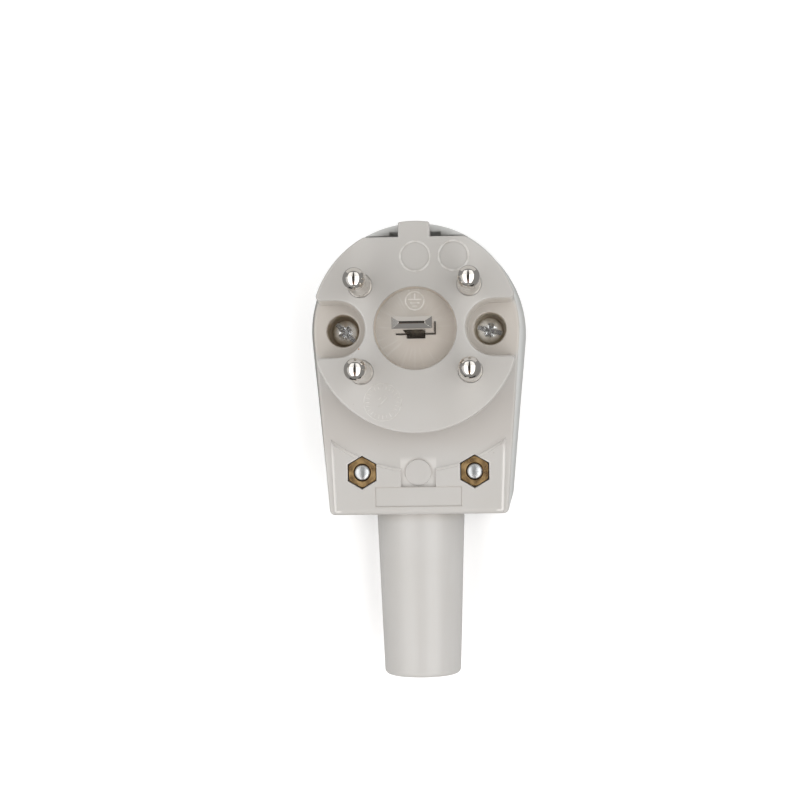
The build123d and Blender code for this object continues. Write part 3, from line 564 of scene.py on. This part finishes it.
def turned_tree():
    """Turns a half section about Z, and cuts a thread or a knurl where its points ask for one."""
    shape = Shape(
        "Turned Piece",
        {
            "Segments": "int",
            "Thread Pitch": "float",
            "Thread Depth": "float",
            "Knurl Count": "int",
            "Knurl Depth": "float",
        },
    )
    section = shape.named("Geometry")
    size = shape.add("GeometryNodeAttributeDomainSize", inputs={"Geometry": section})
    rows = size.output("Point Count")
    segments = shape.named("Segments")
    grid = shape.add(
        "GeometryNodeMeshGrid",
        inputs={"Size X": 1.0, "Size Y": 1.0, "Vertices X": segments + 1, "Vertices Y": rows},
    )
    index = shape.add("GeometryNodeInputIndex")
    row = index % rows
    turn = (index - row) / rows / segments
    point = shape.sample(section, "FLOAT_VECTOR", shape.add("GeometryNodeInputPosition"), row)
    radius, _, height = shape.axes(point)
    threaded = shape.sample(section, "FLOAT", shape.attribute("thread"), row)
    knurled = shape.sample(section, "FLOAT", shape.attribute("knurl"), row)

    def valley(phase):
        """1 at whole numbers, 0 halfway between them."""
        return 1 - 2 * shape.math("PINGPONG", phase, 0.5)

    pitch = shape.named("Thread Pitch")
    groove = shape.smooth(0.0, 1.0, valley(height / pitch - turn))
    count = shape.named("Knurl Count")
    rise = height * count / (radius * math.tau + 1e-6)
    cross = shape.larger(valley(turn * count + rise), valley(turn * count - rise))
    radius = radius - threaded * groove * shape.named("Thread Depth")
    radius = radius - knurled * shape.smooth(0.5, 1.0, cross) * shape.named("Knurl Depth")
    angle = turn * math.tau
    place = shape.vector(
        radius * shape.math("COSINE", angle), radius * shape.math("SINE", angle), height
    )
    body = shape.add("GeometryNodeSetPosition", inputs={"Geometry": grid, "Position": place})
    closed = shape.add("GeometryNodeMergeByDistance", inputs={"Geometry": body, "Distance": 1e-6})
    return shape.finish(closed)


def driver_tree():
    """Cuts a driver slot, and a tapered cross where it is asked for, into the top of a head."""
    shape = Shape(
        "Driver Slot",
        {
            "Top": "float",
            "Slot Width": "float",
            "Slot Depth": "float",
            "Cross Width": "float",
            "Cross Length": "float",
            "Cross Depth": "float",
        },
    )
    top = shape.named("Top")

    def cutter(length, width, depth, narrowing, turn):
        block = shape.add(
            "GeometryNodeMeshCube", inputs={"Size": shape.vector(length, width, depth * 2)}
        )
        x, y, z = shape.axes(shape.add("GeometryNodeInputPosition"))
        share = 1 + z / depth * narrowing
        tapered = shape.add(
            "GeometryNodeSetPosition",
            inputs={"Geometry": block, "Position": shape.vector(x * share, y * share, z)},
        )
        return shape.add(
            "GeometryNodeTransform",
            inputs={
                "Geometry": tapered,
                "Translation": shape.vector(0.0, 0.0, top),
                "Rotation": (0, 0, turn),
            },
        )

    slot = (20.0 * MM, shape.named("Slot Width"), shape.named("Slot Depth"), 0.06)
    cross = [shape.named(f"Cross {size}") for size in ("Length", "Width", "Depth")] + [0.35]
    cutters = [cutter(*slot, 0.0), cutter(*cross, 0.0), cutter(*cross, math.pi / 2)]
    cut = shape.add(
        "GeometryNodeMeshBoolean",
        {"operation": "DIFFERENCE", "solver": "EXACT"},
        {"Mesh 1": shape.named("Geometry"), "Mesh 2": cutters},
    )
    return shape.finish(cut)


LAID_LINE = {
    "Line Width": "float",
    "Line Height": "float",
    "Floor": "float",
    "Dish Rise": "float",
    "Dish Radius": "float",
}


def raised_line_tree():
    """Lays a low rounded line along drawn edges, on a floor that may be dished."""
    shape = Shape("Raised Line", LAID_LINE)
    path = shape.add("GeometryNodeMeshToCurve", inputs={"Mesh": shape.named("Geometry")})
    return shape.finish(lay_line(shape, path))


def lay_line(shape, path):
    """A rounded band along a path, pressed to its height and laid on the floor."""
    upright = shape.add("GeometryNodeSetCurveNormal", {"mode": "Z_UP"}, {"Curve": path})
    half_width = shape.named("Line Width") / 2
    band = shape.add(
        "GeometryNodeCurvePrimitiveCircle", inputs={"Resolution": 12, "Radius": half_width}
    )
    sweep = shape.add(
        "GeometryNodeCurveToMesh",
        inputs={"Curve": upright, "Profile Curve": band, "Fill Caps": True},
    )
    x, y, z = shape.axes(shape.add("GeometryNodeInputPosition"))
    from_middle = shape.length(x, y) / shape.named("Dish Radius")
    floor = shape.named("Floor") + shape.named("Dish Rise") * from_middle * from_middle
    flat = z / half_width * shape.named("Line Height")
    place = shape.vector(x, y, floor + flat)
    return shape.add("GeometryNodeSetPosition", inputs={"Geometry": sweep, "Position": place})


def date_ring_tree():
    """A moulder's date ring: radial ticks repeated round a circle, with the drawn lines inside."""
    shape = Shape(
        "Date Ring",
        {
            "Radius": "float",
            "Tick Count": "int",
            "Tick Length": "float",
            "Centre X": "float",
            "Centre Y": "float",
            **LAID_LINE,
        },
    )
    drawn = shape.add("GeometryNodeMeshToCurve", inputs={"Mesh": shape.named("Geometry")})
    count = shape.named("Tick Count")
    points = shape.add("GeometryNodePoints", inputs={"Count": count})
    turn = shape.add("GeometryNodeInputIndex") / count * math.tau
    radius = shape.named("Radius") - shape.named("Tick Length") * 1.4
    place = shape.vector(
        shape.math("COSINE", turn) * radius + shape.named("Centre X"),
        shape.math("SINE", turn) * radius + shape.named("Centre Y"),
        0.0,
    )
    ring = shape.add("GeometryNodeSetPosition", inputs={"Geometry": points, "Position": place})
    outwards = shape.vector(shape.named("Tick Length"), 0.0, 0.0)
    tick = shape.add(
        "GeometryNodeCurvePrimitiveLine", inputs={"Start": (0.0, 0.0, 0.0), "End": outwards}
    )
    ticks = shape.add(
        "GeometryNodeInstanceOnPoints",
        inputs={"Points": ring, "Instance": tick, "Rotation": shape.vector(0.0, 0.0, turn)},
    )
    real = shape.add("GeometryNodeRealizeInstances", inputs={"Geometry": ticks})
    both = shape.add("GeometryNodeJoinGeometry", inputs={"Geometry": [drawn, real]})
    return shape.finish(lay_line(shape, both))


# Building pieces


def new_piece(name, points, edges):
    mesh = bpy.data.meshes.new(name)
    mesh.from_pydata(points, edges, [])
    piece = bpy.data.objects.new(name, mesh)
    bpy.context.scene.collection.objects.link(piece)
    return piece


def grow(piece, tree, values):
    """Adds a geometry tree to a piece, with its inputs set by their sockets' identifiers."""
    modifier = piece.modifiers.new(tree.name, "NODES")
    modifier.node_group = tree
    sockets = [item for item in tree.interface.items_tree if item.in_out == "INPUT"]
    known = {socket.name: socket.identifier for socket in sockets}
    for label, value in values.items():
        modifier[known[label]] = value


def settle(piece, place=None, smooth_deg=35.0):
    """Turns the modifiers' result into a plain closed mesh in its place."""
    depsgraph = bpy.context.evaluated_depsgraph_get()
    made = bpy.data.meshes.new_from_object(piece.evaluated_get(depsgraph))
    piece.modifiers.clear()
    sketch = piece.data
    piece.data = made
    bpy.data.meshes.remove(sketch)
    made.name = piece.name
    work = bmesh.new()
    work.from_mesh(made)
    bmesh.ops.remove_doubles(work, verts=work.verts, dist=1e-7)
    bmesh.ops.recalc_face_normals(work, faces=work.faces)
    if not work.faces:
        raise RuntimeError(f"{piece.name} came out empty")
    if any(not edge.is_manifold for edge in work.edges):
        raise RuntimeError(f"{piece.name} is not closed")
    work.to_mesh(made)
    work.free()
    if place is not None:
        made.transform(place)
    for layer in [item for item in made.attributes if item.name in ("thread", "knurl")]:
        made.attributes.remove(layer)
    made.shade_smooth()
    made.set_sharp_from_angle(angle=math.radians(smooth_deg))
    return piece


def hand_in(piece, nodes=()):
    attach(piece, "root")
    if nodes:
        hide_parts(*nodes)


def paint(material, *nodes):
    for name in nodes:
        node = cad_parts[name]
        node.data.materials.clear()
        node.data.materials.append(material)


def sketch(name, strokes):
    """Edges in millimetres along strokes, each a list of points and whether it closes."""
    points, edges = [], []
    for stroke, closed in strokes:
        first = len(points)
        points += [(px * MM, py * MM, 0.0) for px, py in stroke]
        edges += [(i, i + 1) for i in range(first, len(points) - 1)]
        if closed:
            edges.append((len(points) - 1, first))
    return new_piece(name, points, edges)


def turned_piece(name, section, material, segments, thread=(1.0, 0.0), knurl=(1, 0.0)):
    """Turned piece from a half section of (radius, height, thread share, knurl share) points.

    The thread is given as pitch and depth, and the knurl as count and depth.
    """
    points = [(radius, 0.0, height) for radius, height, *_ in section]
    piece = new_piece(name, points, [(i, i + 1) for i in range(len(points) - 1)])
    for column, label in ((2, "thread"), (3, "knurl")):
        layer = piece.data.attributes.new(label, "FLOAT", "POINT")
        layer.data.foreach_set("value", [point[column] for point in section])
    grow(
        piece,
        shared("turned", turned_tree),
        {
            "Segments": segments,
            "Thread Pitch": thread[0],
            "Thread Depth": thread[1],
            "Knurl Count": knurl[0],
            "Knurl Depth": knurl[1],
            "Material": material,
        },
    )
    return piece


made_once = {}


def shared(key, make, *given):
    """A material or tree that several operators use, made by the first of them."""
    if key not in made_once:
        made_once[key] = make(*given)
    return made_once[key]


def arc(middle, radius, start_deg, end_deg, steps):
    """Points along an arc in the plane of a half section or a drawing."""
    points = []
    for i in range(steps + 1):
        turn = math.radians(start_deg + (end_deg - start_deg) * i / steps)
        points.append((middle[0] + radius * math.cos(turn), middle[1] + radius * math.sin(turn)))
    return points


def screw_section(sizes, shank, length, head, head_height, domed, crown_share):
    """Half section of a screw from its tip to the middle of its head. The head sits on height 0."""
    step = sizes.thread_pitch / sizes.thread_rows
    if domed:
        dome = shank * 0.32
        turns = [math.radians(angle) for angle in range(0, 91, 15)]
        tip = [(shank * math.sin(turn), -length + dome * (1 - math.cos(turn))) for turn in turns]
    else:
        chamfer = 0.3 * MM
        tip = [(0.0, -length), (shank - chamfer, -length), (shank, -length + chamfer)]
    low = tip[-1][1]
    rows = int((-low - step) / step)
    fade_rows = 6
    section = [(radius, height, 0.0, 0.0) for radius, height in tip]
    for i in range(1, rows + 1):
        share = min(1.0, i / fade_rows, (rows - i) / fade_rows)
        section.append((shank, low + i * step, max(0.0, share), 0.0))
    foot_edge = 0.08 * MM
    edge = head_height * 0.35
    crown = head_height * crown_share
    head_points = [(shank, 0.0), (head - foot_edge, 0.0), (head, foot_edge)]
    head_points += arc((head - edge, head_height - edge - crown), edge, 0, 70, 6)
    last_radius, last_height = head_points[-1]
    for i in range(1, 7):
        share = i / 6
        rise = 1 - (1 - share) ** 2
        height = last_height + (head_height - last_height) * rise
        head_points.append((last_radius * (1 - share), height))
    return section + [(radius, height, 0.0, 0.0) for radius, height in head_points]


def insert_section(outer, length):
    """Half section of a cover insert: a bore, and two knurled bands with a groove between them."""
    bore = 1.8 * MM
    bore_chamfer = 0.2 * MM
    rim = 0.25 * MM
    groove = outer - 0.3 * MM
    slope = 0.1 * MM
    band = (length - 1.6 * MM) / 2 - 0.35 * MM
    rows = 14
    section = [(bore + bore_chamfer, 0.0, 0.0, 0.0), (outer - rim, 0.0, 0.0, 0.0)]
    for start in (rim, length - rim - band):
        for i in range(rows + 1):
            section.append((outer, start + band * i / rows, 0.0, 0.0 if i in (0, rows) else 1.0))
        if start == rim:
            section.append((groove, start + band + slope, 0.0, 0.0))
            section.append((groove, length - start - band - slope, 0.0, 0.0))
    section += [(outer - rim, length, 0.0, 0.0), (bore + bore_chamfer, length, 0.0, 0.0)]
    section += [(bore, length - bore_chamfer, 0.0, 0.0), (bore, bore_chamfer, 0.0, 0.0)]
    return section + section[:1]


def middle_of(node):
    low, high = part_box(node)
    return (low.x + high.x) / 2, (low.y + high.y) / 2


def middle_in_mm(node):
    return tuple(part / MM for part in middle_of(node))


def make_screw(node, sizes, material, kind):
    """One screw in the place of its CAD node."""
    low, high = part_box(node)
    x, y = middle_of(node)
    head = (high.x - low.x) / 2
    head_height = kind["head_height"] * MM
    length = high.z - low.z - head_height
    section = screw_section(
        sizes, kind["shank"] * MM, length, head, head_height, kind["domed"], kind["crown"]
    )
    thread = (sizes.thread_pitch, sizes.thread_depth)
    piece = turned_piece(
        f"{node}_detailed", section, material, sizes.round_segments, thread=thread
    )
    slot_width, slot_depth = kind["slot"]
    cross_width, cross_length, cross_depth = kind["cross"]
    grow(
        piece,
        shared("driver", driver_tree),
        {
            "Top": head_height,
            "Slot Width": slot_width * MM,
            "Slot Depth": slot_depth * MM,
            "Cross Width": cross_width * MM,
            "Cross Length": cross_length * MM,
            "Cross Depth": cross_depth * MM,
            "Material": material,
        },
    )
    if kind["head_up"]:
        place = Matrix.Translation((x, y, high.z - head_height))
    else:
        upside_down = Matrix.Rotation(math.pi, 4, "X")
        place = Matrix.Translation((x, y, low.z + head_height)) @ upside_down
    settle(piece, place @ Matrix.Rotation(math.radians(kind["turn_deg"]), 4, "Z"))
    hand_in(piece, [node])


def drawn_lines(name, strokes, material, line, floor, dish=(0.0, 1.0)):
    """Raised lines along strokes, of a width and height, on a floor that may be dished."""
    piece = sketch(name, strokes)
    width, height = line
    grow(
        piece,
        shared("raised_line", raised_line_tree),
        {
            "Line Width": width,
            "Line Height": height,
            "Floor": floor * MM,
            "Dish Rise": dish[0] * MM,
            "Dish Radius": dish[1] * MM,
            "Material": material,
        },
    )
    settle(piece, smooth_deg=60.0)
    hand_in(piece)


# Operators


def colour_setting(name, description, default):
    return FloatVectorProperty(
        name=name, description=description, subtype="COLOR", default=default, min=0.0, max=1.0
    )


def share_setting(name, description, default):
    return FloatProperty(
        name=name, description=description, subtype="FACTOR", default=default, min=0.0, max=1.0
    )


def length_setting(name, description, default, low, high):
    """A length whose default and limits are given in millimetres."""
    return FloatProperty(
        name=name, description=description, unit="LENGTH",
        default=default * MM, min=low * MM, max=high * MM, precision=5,
    )


def count_setting(name, description, default, low, high):
    return IntProperty(name=name, description=description, default=default, min=low, max=high)


def place_setting(name, description, default):
    return FloatVectorProperty(
        name=name, description=description, subtype="TRANSLATION", unit="LENGTH",
        default=default, precision=5,
    )


def glow_setting(name, description, default):
    return FloatProperty(name=name, description=description, default=default, min=0.0)


class PlugFinishes(bpy.types.PropertyGroup):
    """Colours and gloss of the finishes."""

    front_colour: colour_setting(
        "Front Housing", "Colour of the front moulding", (0.488, 0.475, 0.457)
    )
    cover_colour: colour_setting("Rear Cover", "Colour of the rear shell", (0.47, 0.475, 0.465))
    sleeve_colour: colour_setting("Sleeve", "Colour of the cable sleeve", (0.5, 0.49, 0.475))
    inner_colour: colour_setting(
        "Contact Retainer", "Colour of the insulating plate", (0.6, 0.58, 0.54)
    )
    nickel_colour: colour_setting("Nickel", "Colour of the plated contacts", (0.78, 0.75, 0.71))
    zinc_colour: colour_setting(
        "Zinc", "Colour of the screws and the cord clamp", (0.95, 0.97, 0.98)
    )
    brass_colour: colour_setting("Brass", "Colour of the nuts and inserts", (0.58, 0.44, 0.25))
    front_roughness: share_setting("Front Roughness", "Roughness of the front moulding", 0.27)
    cover_roughness: share_setting("Cover Roughness", "Roughness of the rear shell", 0.36)
    sleeve_roughness: share_setting("Sleeve Roughness", "Roughness of the cable sleeve", 0.3)
    nickel_roughness: share_setting("Nickel Roughness", "Roughness of the plated contacts", 0.05)
    zinc_roughness: share_setting("Zinc Roughness", "Roughness of the screws", 0.15)
    brass_roughness: share_setting("Brass Roughness", "Roughness of the nuts", 0.2)


class PlugDetail(bpy.types.PropertyGroup):
    """Sizes of the raised marks and the threads."""

    line_width: length_setting("Line Width", "Width of the raised lines", 0.34, 0.05, 1.0)
    line_height: length_setting(
        "Line Height", "How far the raised lines stand up", 0.1, 0.01, 0.5
    )
    symbol_radius: length_setting(
        "Earth Symbol Radius", "Radius of the ring round the earth symbol", 2.1, 1.0, 4.0
    )
    date_radius: length_setting("Date Ring Radius", "Radius of the date ring", 4.25, 1.0, 6.0)
    date_ticks: count_setting("Date Ring Ticks", "Number of ticks in the date ring", 24, 4, 60)
    thread_pitch: length_setting("Thread Pitch", "Pitch of the screw threads", 0.6, 0.2, 2.0)
    thread_depth: length_setting("Thread Depth", "Depth of the screw threads", 0.32, 0.05, 1.0)
    thread_rows: count_setting("Rows per Turn", "Rows of faces in one turn of thread", 8, 4, 16)
    round_segments: count_setting("Segments", "Faces round a turned piece", 64, 16, 128)
    knurl_count: count_setting("Knurl Count", "Diamonds round a cover insert", 24, 8, 60)
    knurl_depth: length_setting(
        "Knurl Depth", "Depth of the knurl on a cover insert", 0.18, 0.02, 0.5
    )


class PlugStage(bpy.types.PropertyGroup):
    """Camera, lights and floor."""

    camera_place: place_setting(
        "Camera Place", "Where the camera stands", (0.0155788, -0.022613, 0.412207)
    )
    camera_aim: place_setting(
        "Camera Aim", "Point in the middle of the picture", (-0.00362815, -0.01627965, 0.033)
    )
    camera_roll: FloatProperty(
        name="Camera Roll", description="Turn of the camera about its own line of sight",
        subtype="ANGLE", default=math.radians(-0.8168),
    )
    camera_lens: FloatProperty(
        name="Lens", description="Focal length in millimetres on a 36 mm sensor",
        default=75.406, min=20.0, max=200.0,
    )
    left_glow: glow_setting("Left Light", "Power of the left light on each square metre", 6.2)
    low_glow: glow_setting("Low Light", "Power of the low left light on each square metre", 1.3)
    right_glow: glow_setting("Right Light", "Power of the right light on each square metre", 7.4)
    top_glow: glow_setting(
        "Top Lights", "Power of the two lights beyond the object on each square metre", 3.2
    )
    surround: glow_setting("Surround", "Brightness of the studio round the object", 0.27)
    floor_colour: colour_setting("Floor", "Colour of the floor", (0.93, 0.93, 0.93))


def flared_cover(material):
    """Copy of the rear cover whose wall leans out as far as the photograph shows."""
    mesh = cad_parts["rear_cover"].data.copy()
    mesh.name = "rear_cover_flared"
    mesh.materials.clear()
    mesh.materials.append(material)
    piece = bpy.data.objects.new(mesh.name, mesh)
    bpy.context.scene.collection.objects.link(piece)
    work = bmesh.new()
    work.from_mesh(mesh)
    bmesh.ops.remove_doubles(work, verts=work.verts, dist=1e-7)
    low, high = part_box("rear_cover")
    for point in work.verts:
        place = point.co
        radius = math.hypot(place.x, place.y)
        rise = eased(place.z, FLARE_FOOT, FLARE_TOP)
        upper = eased(place.y, 0.2 * radius, radius) * eased(radius, 20.5 * MM, 22 * MM)
        if rise * upper > 0:
            wanted = min(radius + rise * upper * FLARE_REACH, high.y)
            place.x *= wanted / radius
            place.y *= wanted / radius
        side = eased(-place.x, 20.5 * MM, 22 * MM) * eased(place.y, -23 * MM, -10 * MM)
        side *= 1 - eased(place.y, 10 * MM, 20 * MM)
        if rise * side > 0:
            place.x = max(place.x - rise * side * FLARE_REACH_LEFT, low.x)
    bmesh.ops.recalc_face_normals(work, faces=work.faces)
    work.to_mesh(mesh)
    work.free()
    mesh.shade_smooth()
    mesh.set_sharp_from_angle(angle=math.radians(30.0))
    return piece


def eased(place, start, end):
    """0 before start and 1 after end, with a soft change between them."""
    share = min(1.0, max(0.0, (place - start) / (end - start)))
    return share * share * (3 - 2 * share)


class PLUG_OT_shells(bpy.types.Operator):
    """Finish the front housing, rear cover and cable sleeve"""

    bl_idname = "plug.shells"
    bl_label = "Shells and Sleeve"

    def execute(self, context):
        sizes = context.scene.plug_finishes
        paint(front_plastic(sizes), "front_housing")
        hand_in(flared_cover(cover_plastic(sizes)), ["rear_cover"])
        paint(sleeve_plastic(sizes), "cable_sleeve")
        return {"FINISHED"}


class PLUG_OT_marks(bpy.types.Operator):
    """Raise the earth symbol, the rims of the round marks and the date ring"""

    bl_idname = "plug.marks"
    bl_label = "Raised Marks"

    def execute(self, context):
        colour = context.scene.plug_finishes.front_colour
        detail = context.scene.plug_detail
        # Raised marks in lighter copies of the front colour, a painted highlight
        shares = {"mark_plastic": 1.2, "symbol_plastic": 1.62, "date_plastic": 1.16}
        plastic, symbol_plastic, date_plastic = (
            painted_highlight_plastic(name, [share * part for part in colour]) for name, share in shares.items()
        )
        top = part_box("front_housing")[1].z / MM
        line = (detail.line_width, detail.line_height)
        floor = top - RECESS_DEPTH
        dish = (RECESS_DISH, RECESS_FOOT)
        drawn_lines("earth_symbol", self.symbol(detail), symbol_plastic, line, floor, dish)
        rim = (detail.line_width * 1.5, detail.line_height)
        for name, place in zip(("mark_rim_left", "mark_rim_right"), MARK_PLACES):
            circle = arc(place, MARK_RADIUS, 0, 354, 59)
            drawn_lines(name, [(circle, True)], plastic, rim, top)
        self.date_ring(detail, date_plastic, top)
        return {"FINISHED"}

    def symbol(self, detail):
        """Strokes of the earth symbol: a ring, a stem and three bars."""
        ring = detail.symbol_radius / MM
        x, y = SYMBOL_PLACE
        strokes = [
            (arc(SYMBOL_PLACE, ring, 0, 352.5, 47), True),
            ([(x, y + 0.3), (x, y + 1.0), (x, y + ring * 0.8)], False),
        ]
        for height, half in ((0.3, 1.55), (-0.5, 1.1), (-1.25, 0.55)):
            bar = [(x - half, y + height), (x, y + height), (x + half, y + height)]
            strokes.append((bar, False))
        return strokes

    def date_ring(self, detail, plastic, top):
        """A ring of ticks with a plain pointer in it."""
        x, y = DATE_PLACE
        strokes = [
            (arc(DATE_PLACE, detail.date_radius / MM, 0, 354, 59), True),
            ([(x - 1.1, y - 1.2), (x, y), (x + 1.1, y + 1.2)], False),
            ([(x + 0.35, y + 1.25), (x + 0.75, y + 1.23)], False),
            ([(x - 0.9, y + 0.5), (x - 0.3, y + 1.1)], False),
        ]
        piece = sketch("date_ring", strokes)
        grow(
            piece,
            date_ring_tree(),
            {
                "Radius": detail.date_radius,
                "Tick Count": detail.date_ticks,
                "Tick Length": 0.9 * MM,
                "Centre X": x * MM,
                "Centre Y": y * MM,
                "Line Width": detail.line_width * 0.6,
                "Line Height": detail.line_height * 0.4,
                "Floor": top * MM,
                "Dish Rise": 0.0,
                "Dish Radius": 1.0,
                "Material": plastic,
            },
        )
        settle(piece, smooth_deg=60.0)
        hand_in(piece)


class PLUG_OT_contacts(bpy.types.Operator):
    """Finish the contacts, the plate that holds them and the cord clamp"""

    bl_idname = "plug.contacts"
    bl_label = "Contacts"

    def execute(self, context):
        sizes = context.scene.plug_finishes
        paint(nickel(sizes), "earth_contact", *PINS)
        paint(plain_plastic("retainer_plastic", sizes.inner_colour, 0.5), "contact_retainer")
        paint(shared("zinc", bright_zinc, sizes), "cord_clamp")
        return {"FINISHED"}


class PLUG_OT_screws(bpy.types.Operator):
    """Build every screw with its thread, head and driver slot"""

    bl_idname = "plug.screws"
    bl_label = "Screws"

    def execute(self, context):
        sizes = context.scene.plug_finishes
        bright = shared("zinc", bright_zinc, sizes)
        dull = dull_zinc(sizes)
        for turn, (node, kind) in enumerate(SCREWS.items()):
            kind = {**PLAIN_SCREW, "turn_deg": TURN_STEP_DEG * turn, **kind}
            metal = dull if node.startswith("clamp") else bright
            make_screw(node, context.scene.plug_detail, metal, kind)
        return {"FINISHED"}


class PLUG_OT_brass(bpy.types.Operator):
    """Finish the nuts, and build the knurled inserts of the cover"""

    bl_idname = "plug.brass"
    bl_label = "Nuts and Inserts"

    def execute(self, context):
        detail = context.scene.plug_detail
        metal = brass(context.scene.plug_finishes)
        paint(metal, "clamp_nut_left", "clamp_nut_right")
        for node in ("cover_insert_left", "cover_insert_right"):
            low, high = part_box(node)
            x, y = middle_of(node)
            section = insert_section((high.x - low.x) / 2, high.z - low.z)
            knurl = (detail.knurl_count, detail.knurl_depth)
            piece = turned_piece(
                f"{node}_detailed", section, metal, detail.knurl_count * 6, knurl=knurl
            )
            settle(piece, Matrix.Translation((x, y, low.z)))
            hand_in(piece, [node])
        return {"FINISHED"}


def level_face(half_width, start, end, height):
    """Corners of a level rectangle from start to end along Y."""
    corners = ((-half_width, start), (half_width, start), (half_width, end), (-half_width, end))
    return [(x, y, height) for x, y in corners]


def upright_face(half_width, place, low, high):
    """Corners of an upright rectangle that faces along Y."""
    corners = ((-half_width, low), (half_width, low), (half_width, high), (-half_width, high))
    return [(x, place, z) for x, z in corners]


class PLUG_OT_stage(bpy.types.Operator):
    """Lay the floor, hang the lights and place the camera"""

    bl_idname = "plug.stage"
    bl_label = "Stage"

    def execute(self, context):
        stage = context.scene.plug_stage
        context.scene.view_settings.view_transform = "Standard"
        self.floor(stage)
        self.cards()
        self.surround(context, stage)
        for name, (inner, outer, run, setting) in SOFT_LIGHTS.items():
            self.soft_light(name, inner, outer, run, getattr(stage, setting))
        self.camera(context, stage)
        return {"FINISHED"}

    def slab(self, name, corners):
        mesh = bpy.data.meshes.new(name)
        mesh.from_pydata(corners, [], [(0, 1, 2, 3)])
        slab = bpy.data.objects.new(name, mesh)
        bpy.context.scene.collection.objects.link(slab)
        return slab

    def floor(self, stage):
        floor = self.slab("floor", level_face(3, -3, 3, -FLOOR_GAP))
        floor.visible_glossy = False
        finish = Finish("floor_paper")
        fibre = finish.noise(0.8, detail=4.0)
        colour = stage.floor_colour
        base = finish.mix(fibre * 0.2, rgba(colour), tinted(colour, (0.985, 0.985, 0.985)))
        glow = {"Emission Color": rgba(colour), "Emission Strength": 0.2, "Specular IOR Level": 0.1}
        floor.data.materials.append(finish.shade(base, 0.9 - 0.1 * fibre, others=glow))

    def cards(self):
        """Cards above, behind and before the object, which the polished pins mirror."""
        brown = Finish("card_brown")
        patches = brown.noise(0.012, detail=3.0) * brown.smooth(-100.0, -350.0, brown.y)
        patched = brown.mix(
            brown.smooth(0.4, 0.62, patches), (0.05, 0.045, 0.04, 1.0), (0.3, 0.1, 0.03, 1.0)
        )
        pale = Finish("card_pale")
        pale.material.cycles.emission_sampling = "NONE"
        glow = {"Emission Color": (1.0, 0.98, 0.95, 1.0), "Emission Strength": 0.62}
        dark = Finish("card_dark")
        materials = (
            brown.shade(patched, 0.9),
            pale.shade((0.0, 0.0, 0.0, 1.0), 0.5, others=glow),
            dark.shade((0.02, 0.016, 0.014, 1.0), 0.9),
        )
        places = {
            "card_above": level_face(0.3, -1.5, 0.8, 0.6),
            "card_behind": upright_face(0.6, 0.55, -0.6, 0.12),
            "card_before": upright_face(0.9, -1.2, -1.2, -0.4),
        }
        for (name, corners), material in zip(places.items(), materials):
            card = self.slab(name, corners)
            card.data.materials.append(material)
            card.visible_camera = False

    def surround(self, context, stage):
        world = bpy.data.worlds.new("studio")
        context.scene.world = world
        world.use_nodes = True
        background = world.node_tree.nodes["Background"]
        level = stage.surround
        background.inputs["Color"].default_value = (level, level * 0.995, level * 0.985, 1.0)

    def soft_light(self, name, inner, outer, run, glow):
        """Long soft light between two lines along Y, given as (x, z), shining at the object."""
        light = bpy.data.lights.new(name, "AREA")
        light.shape = "RECTANGLE"
        across = Vector((outer[0] - inner[0], 0.0, outer[1] - inner[1]))
        light.size = across.length
        light.size_y = run[1] - run[0]
        light.energy = glow * light.size * light.size_y
        lamp = bpy.data.objects.new(name, light)
        bpy.context.scene.collection.objects.link(lamp)
        along = Vector((0.0, 1.0, 0.0))
        side = across.normalized()
        back = side.cross(along)
        if back.z < 0:
            side, back = -side, -back
        middle = Vector((inner[0] + outer[0], run[0] + run[1], inner[1] + outer[1])) / 2
        turned = Matrix((side, along, back)).transposed().to_4x4()
        lamp.matrix_world = Matrix.Translation(middle) @ turned
        lamp.visible_camera = False

    def camera(self, context, stage):
        data = bpy.data.cameras.new("view_of_front")
        data.lens = stage.camera_lens
        data.sensor_width = 36.0
        data.clip_start = 0.01
        data.clip_end = 20.0
        camera = bpy.data.objects.new("view_of_front", data)
        context.scene.collection.objects.link(camera)
        back = (Vector(stage.camera_place) - Vector(stage.camera_aim)).normalized()
        up = Vector((0, 1, 0)) - back.y * back
        up.normalize()
        up = Matrix.Rotation(stage.camera_roll, 3, back) @ up
        right = up.cross(back)
        turned = Matrix((right, up, back)).transposed().to_4x4()
        camera.matrix_world = Matrix.Translation(stage.camera_place) @ turned
        context.scene.camera = camera


class PLUG_PT_build(bpy.types.Panel):
    """Buttons and settings of the plug"""

    bl_idname = "PLUG_PT_build"
    bl_label = "Angled Plug"
    bl_space_type = "VIEW_3D"
    bl_region_type = "UI"
    bl_category = "Plug"

    def draw(self, context):
        for operator in OPERATORS:
            self.layout.operator(operator.bl_idname)
        for key in GROUPS:
            settings = getattr(context.scene, key)
            box = self.layout.box()
            for label in settings.bl_rna.properties.keys():
                if label not in ("rna_type", "name"):
                    box.prop(settings, label)


OPERATORS = (
    PLUG_OT_stage, PLUG_OT_shells, PLUG_OT_marks, PLUG_OT_contacts, PLUG_OT_screws, PLUG_OT_brass,
)
GROUPS = {"plug_finishes": PlugFinishes, "plug_detail": PlugDetail, "plug_stage": PlugStage}


def register():
    for group in GROUPS.values():
        bpy.utils.register_class(group)
    for key, group in GROUPS.items():
        setattr(bpy.types.Scene, key, PointerProperty(type=group))
    for kind in (*OPERATORS, PLUG_PT_build):
        bpy.utils.register_class(kind)


def unregister():
    for kind in reversed((*OPERATORS, PLUG_PT_build)):
        bpy.utils.unregister_class(kind)
    for key in GROUPS:
        delattr(bpy.types.Scene, key)
    for group in GROUPS.values():
        bpy.utils.unregister_class(group)


def main():
    register()
    bpy.ops.plug.stage()
    bpy.ops.plug.shells()
    bpy.ops.plug.marks()
    bpy.ops.plug.contacts()
    bpy.ops.plug.screws()
    bpy.ops.plug.brass()


if __name__ == "__main__":
    main()
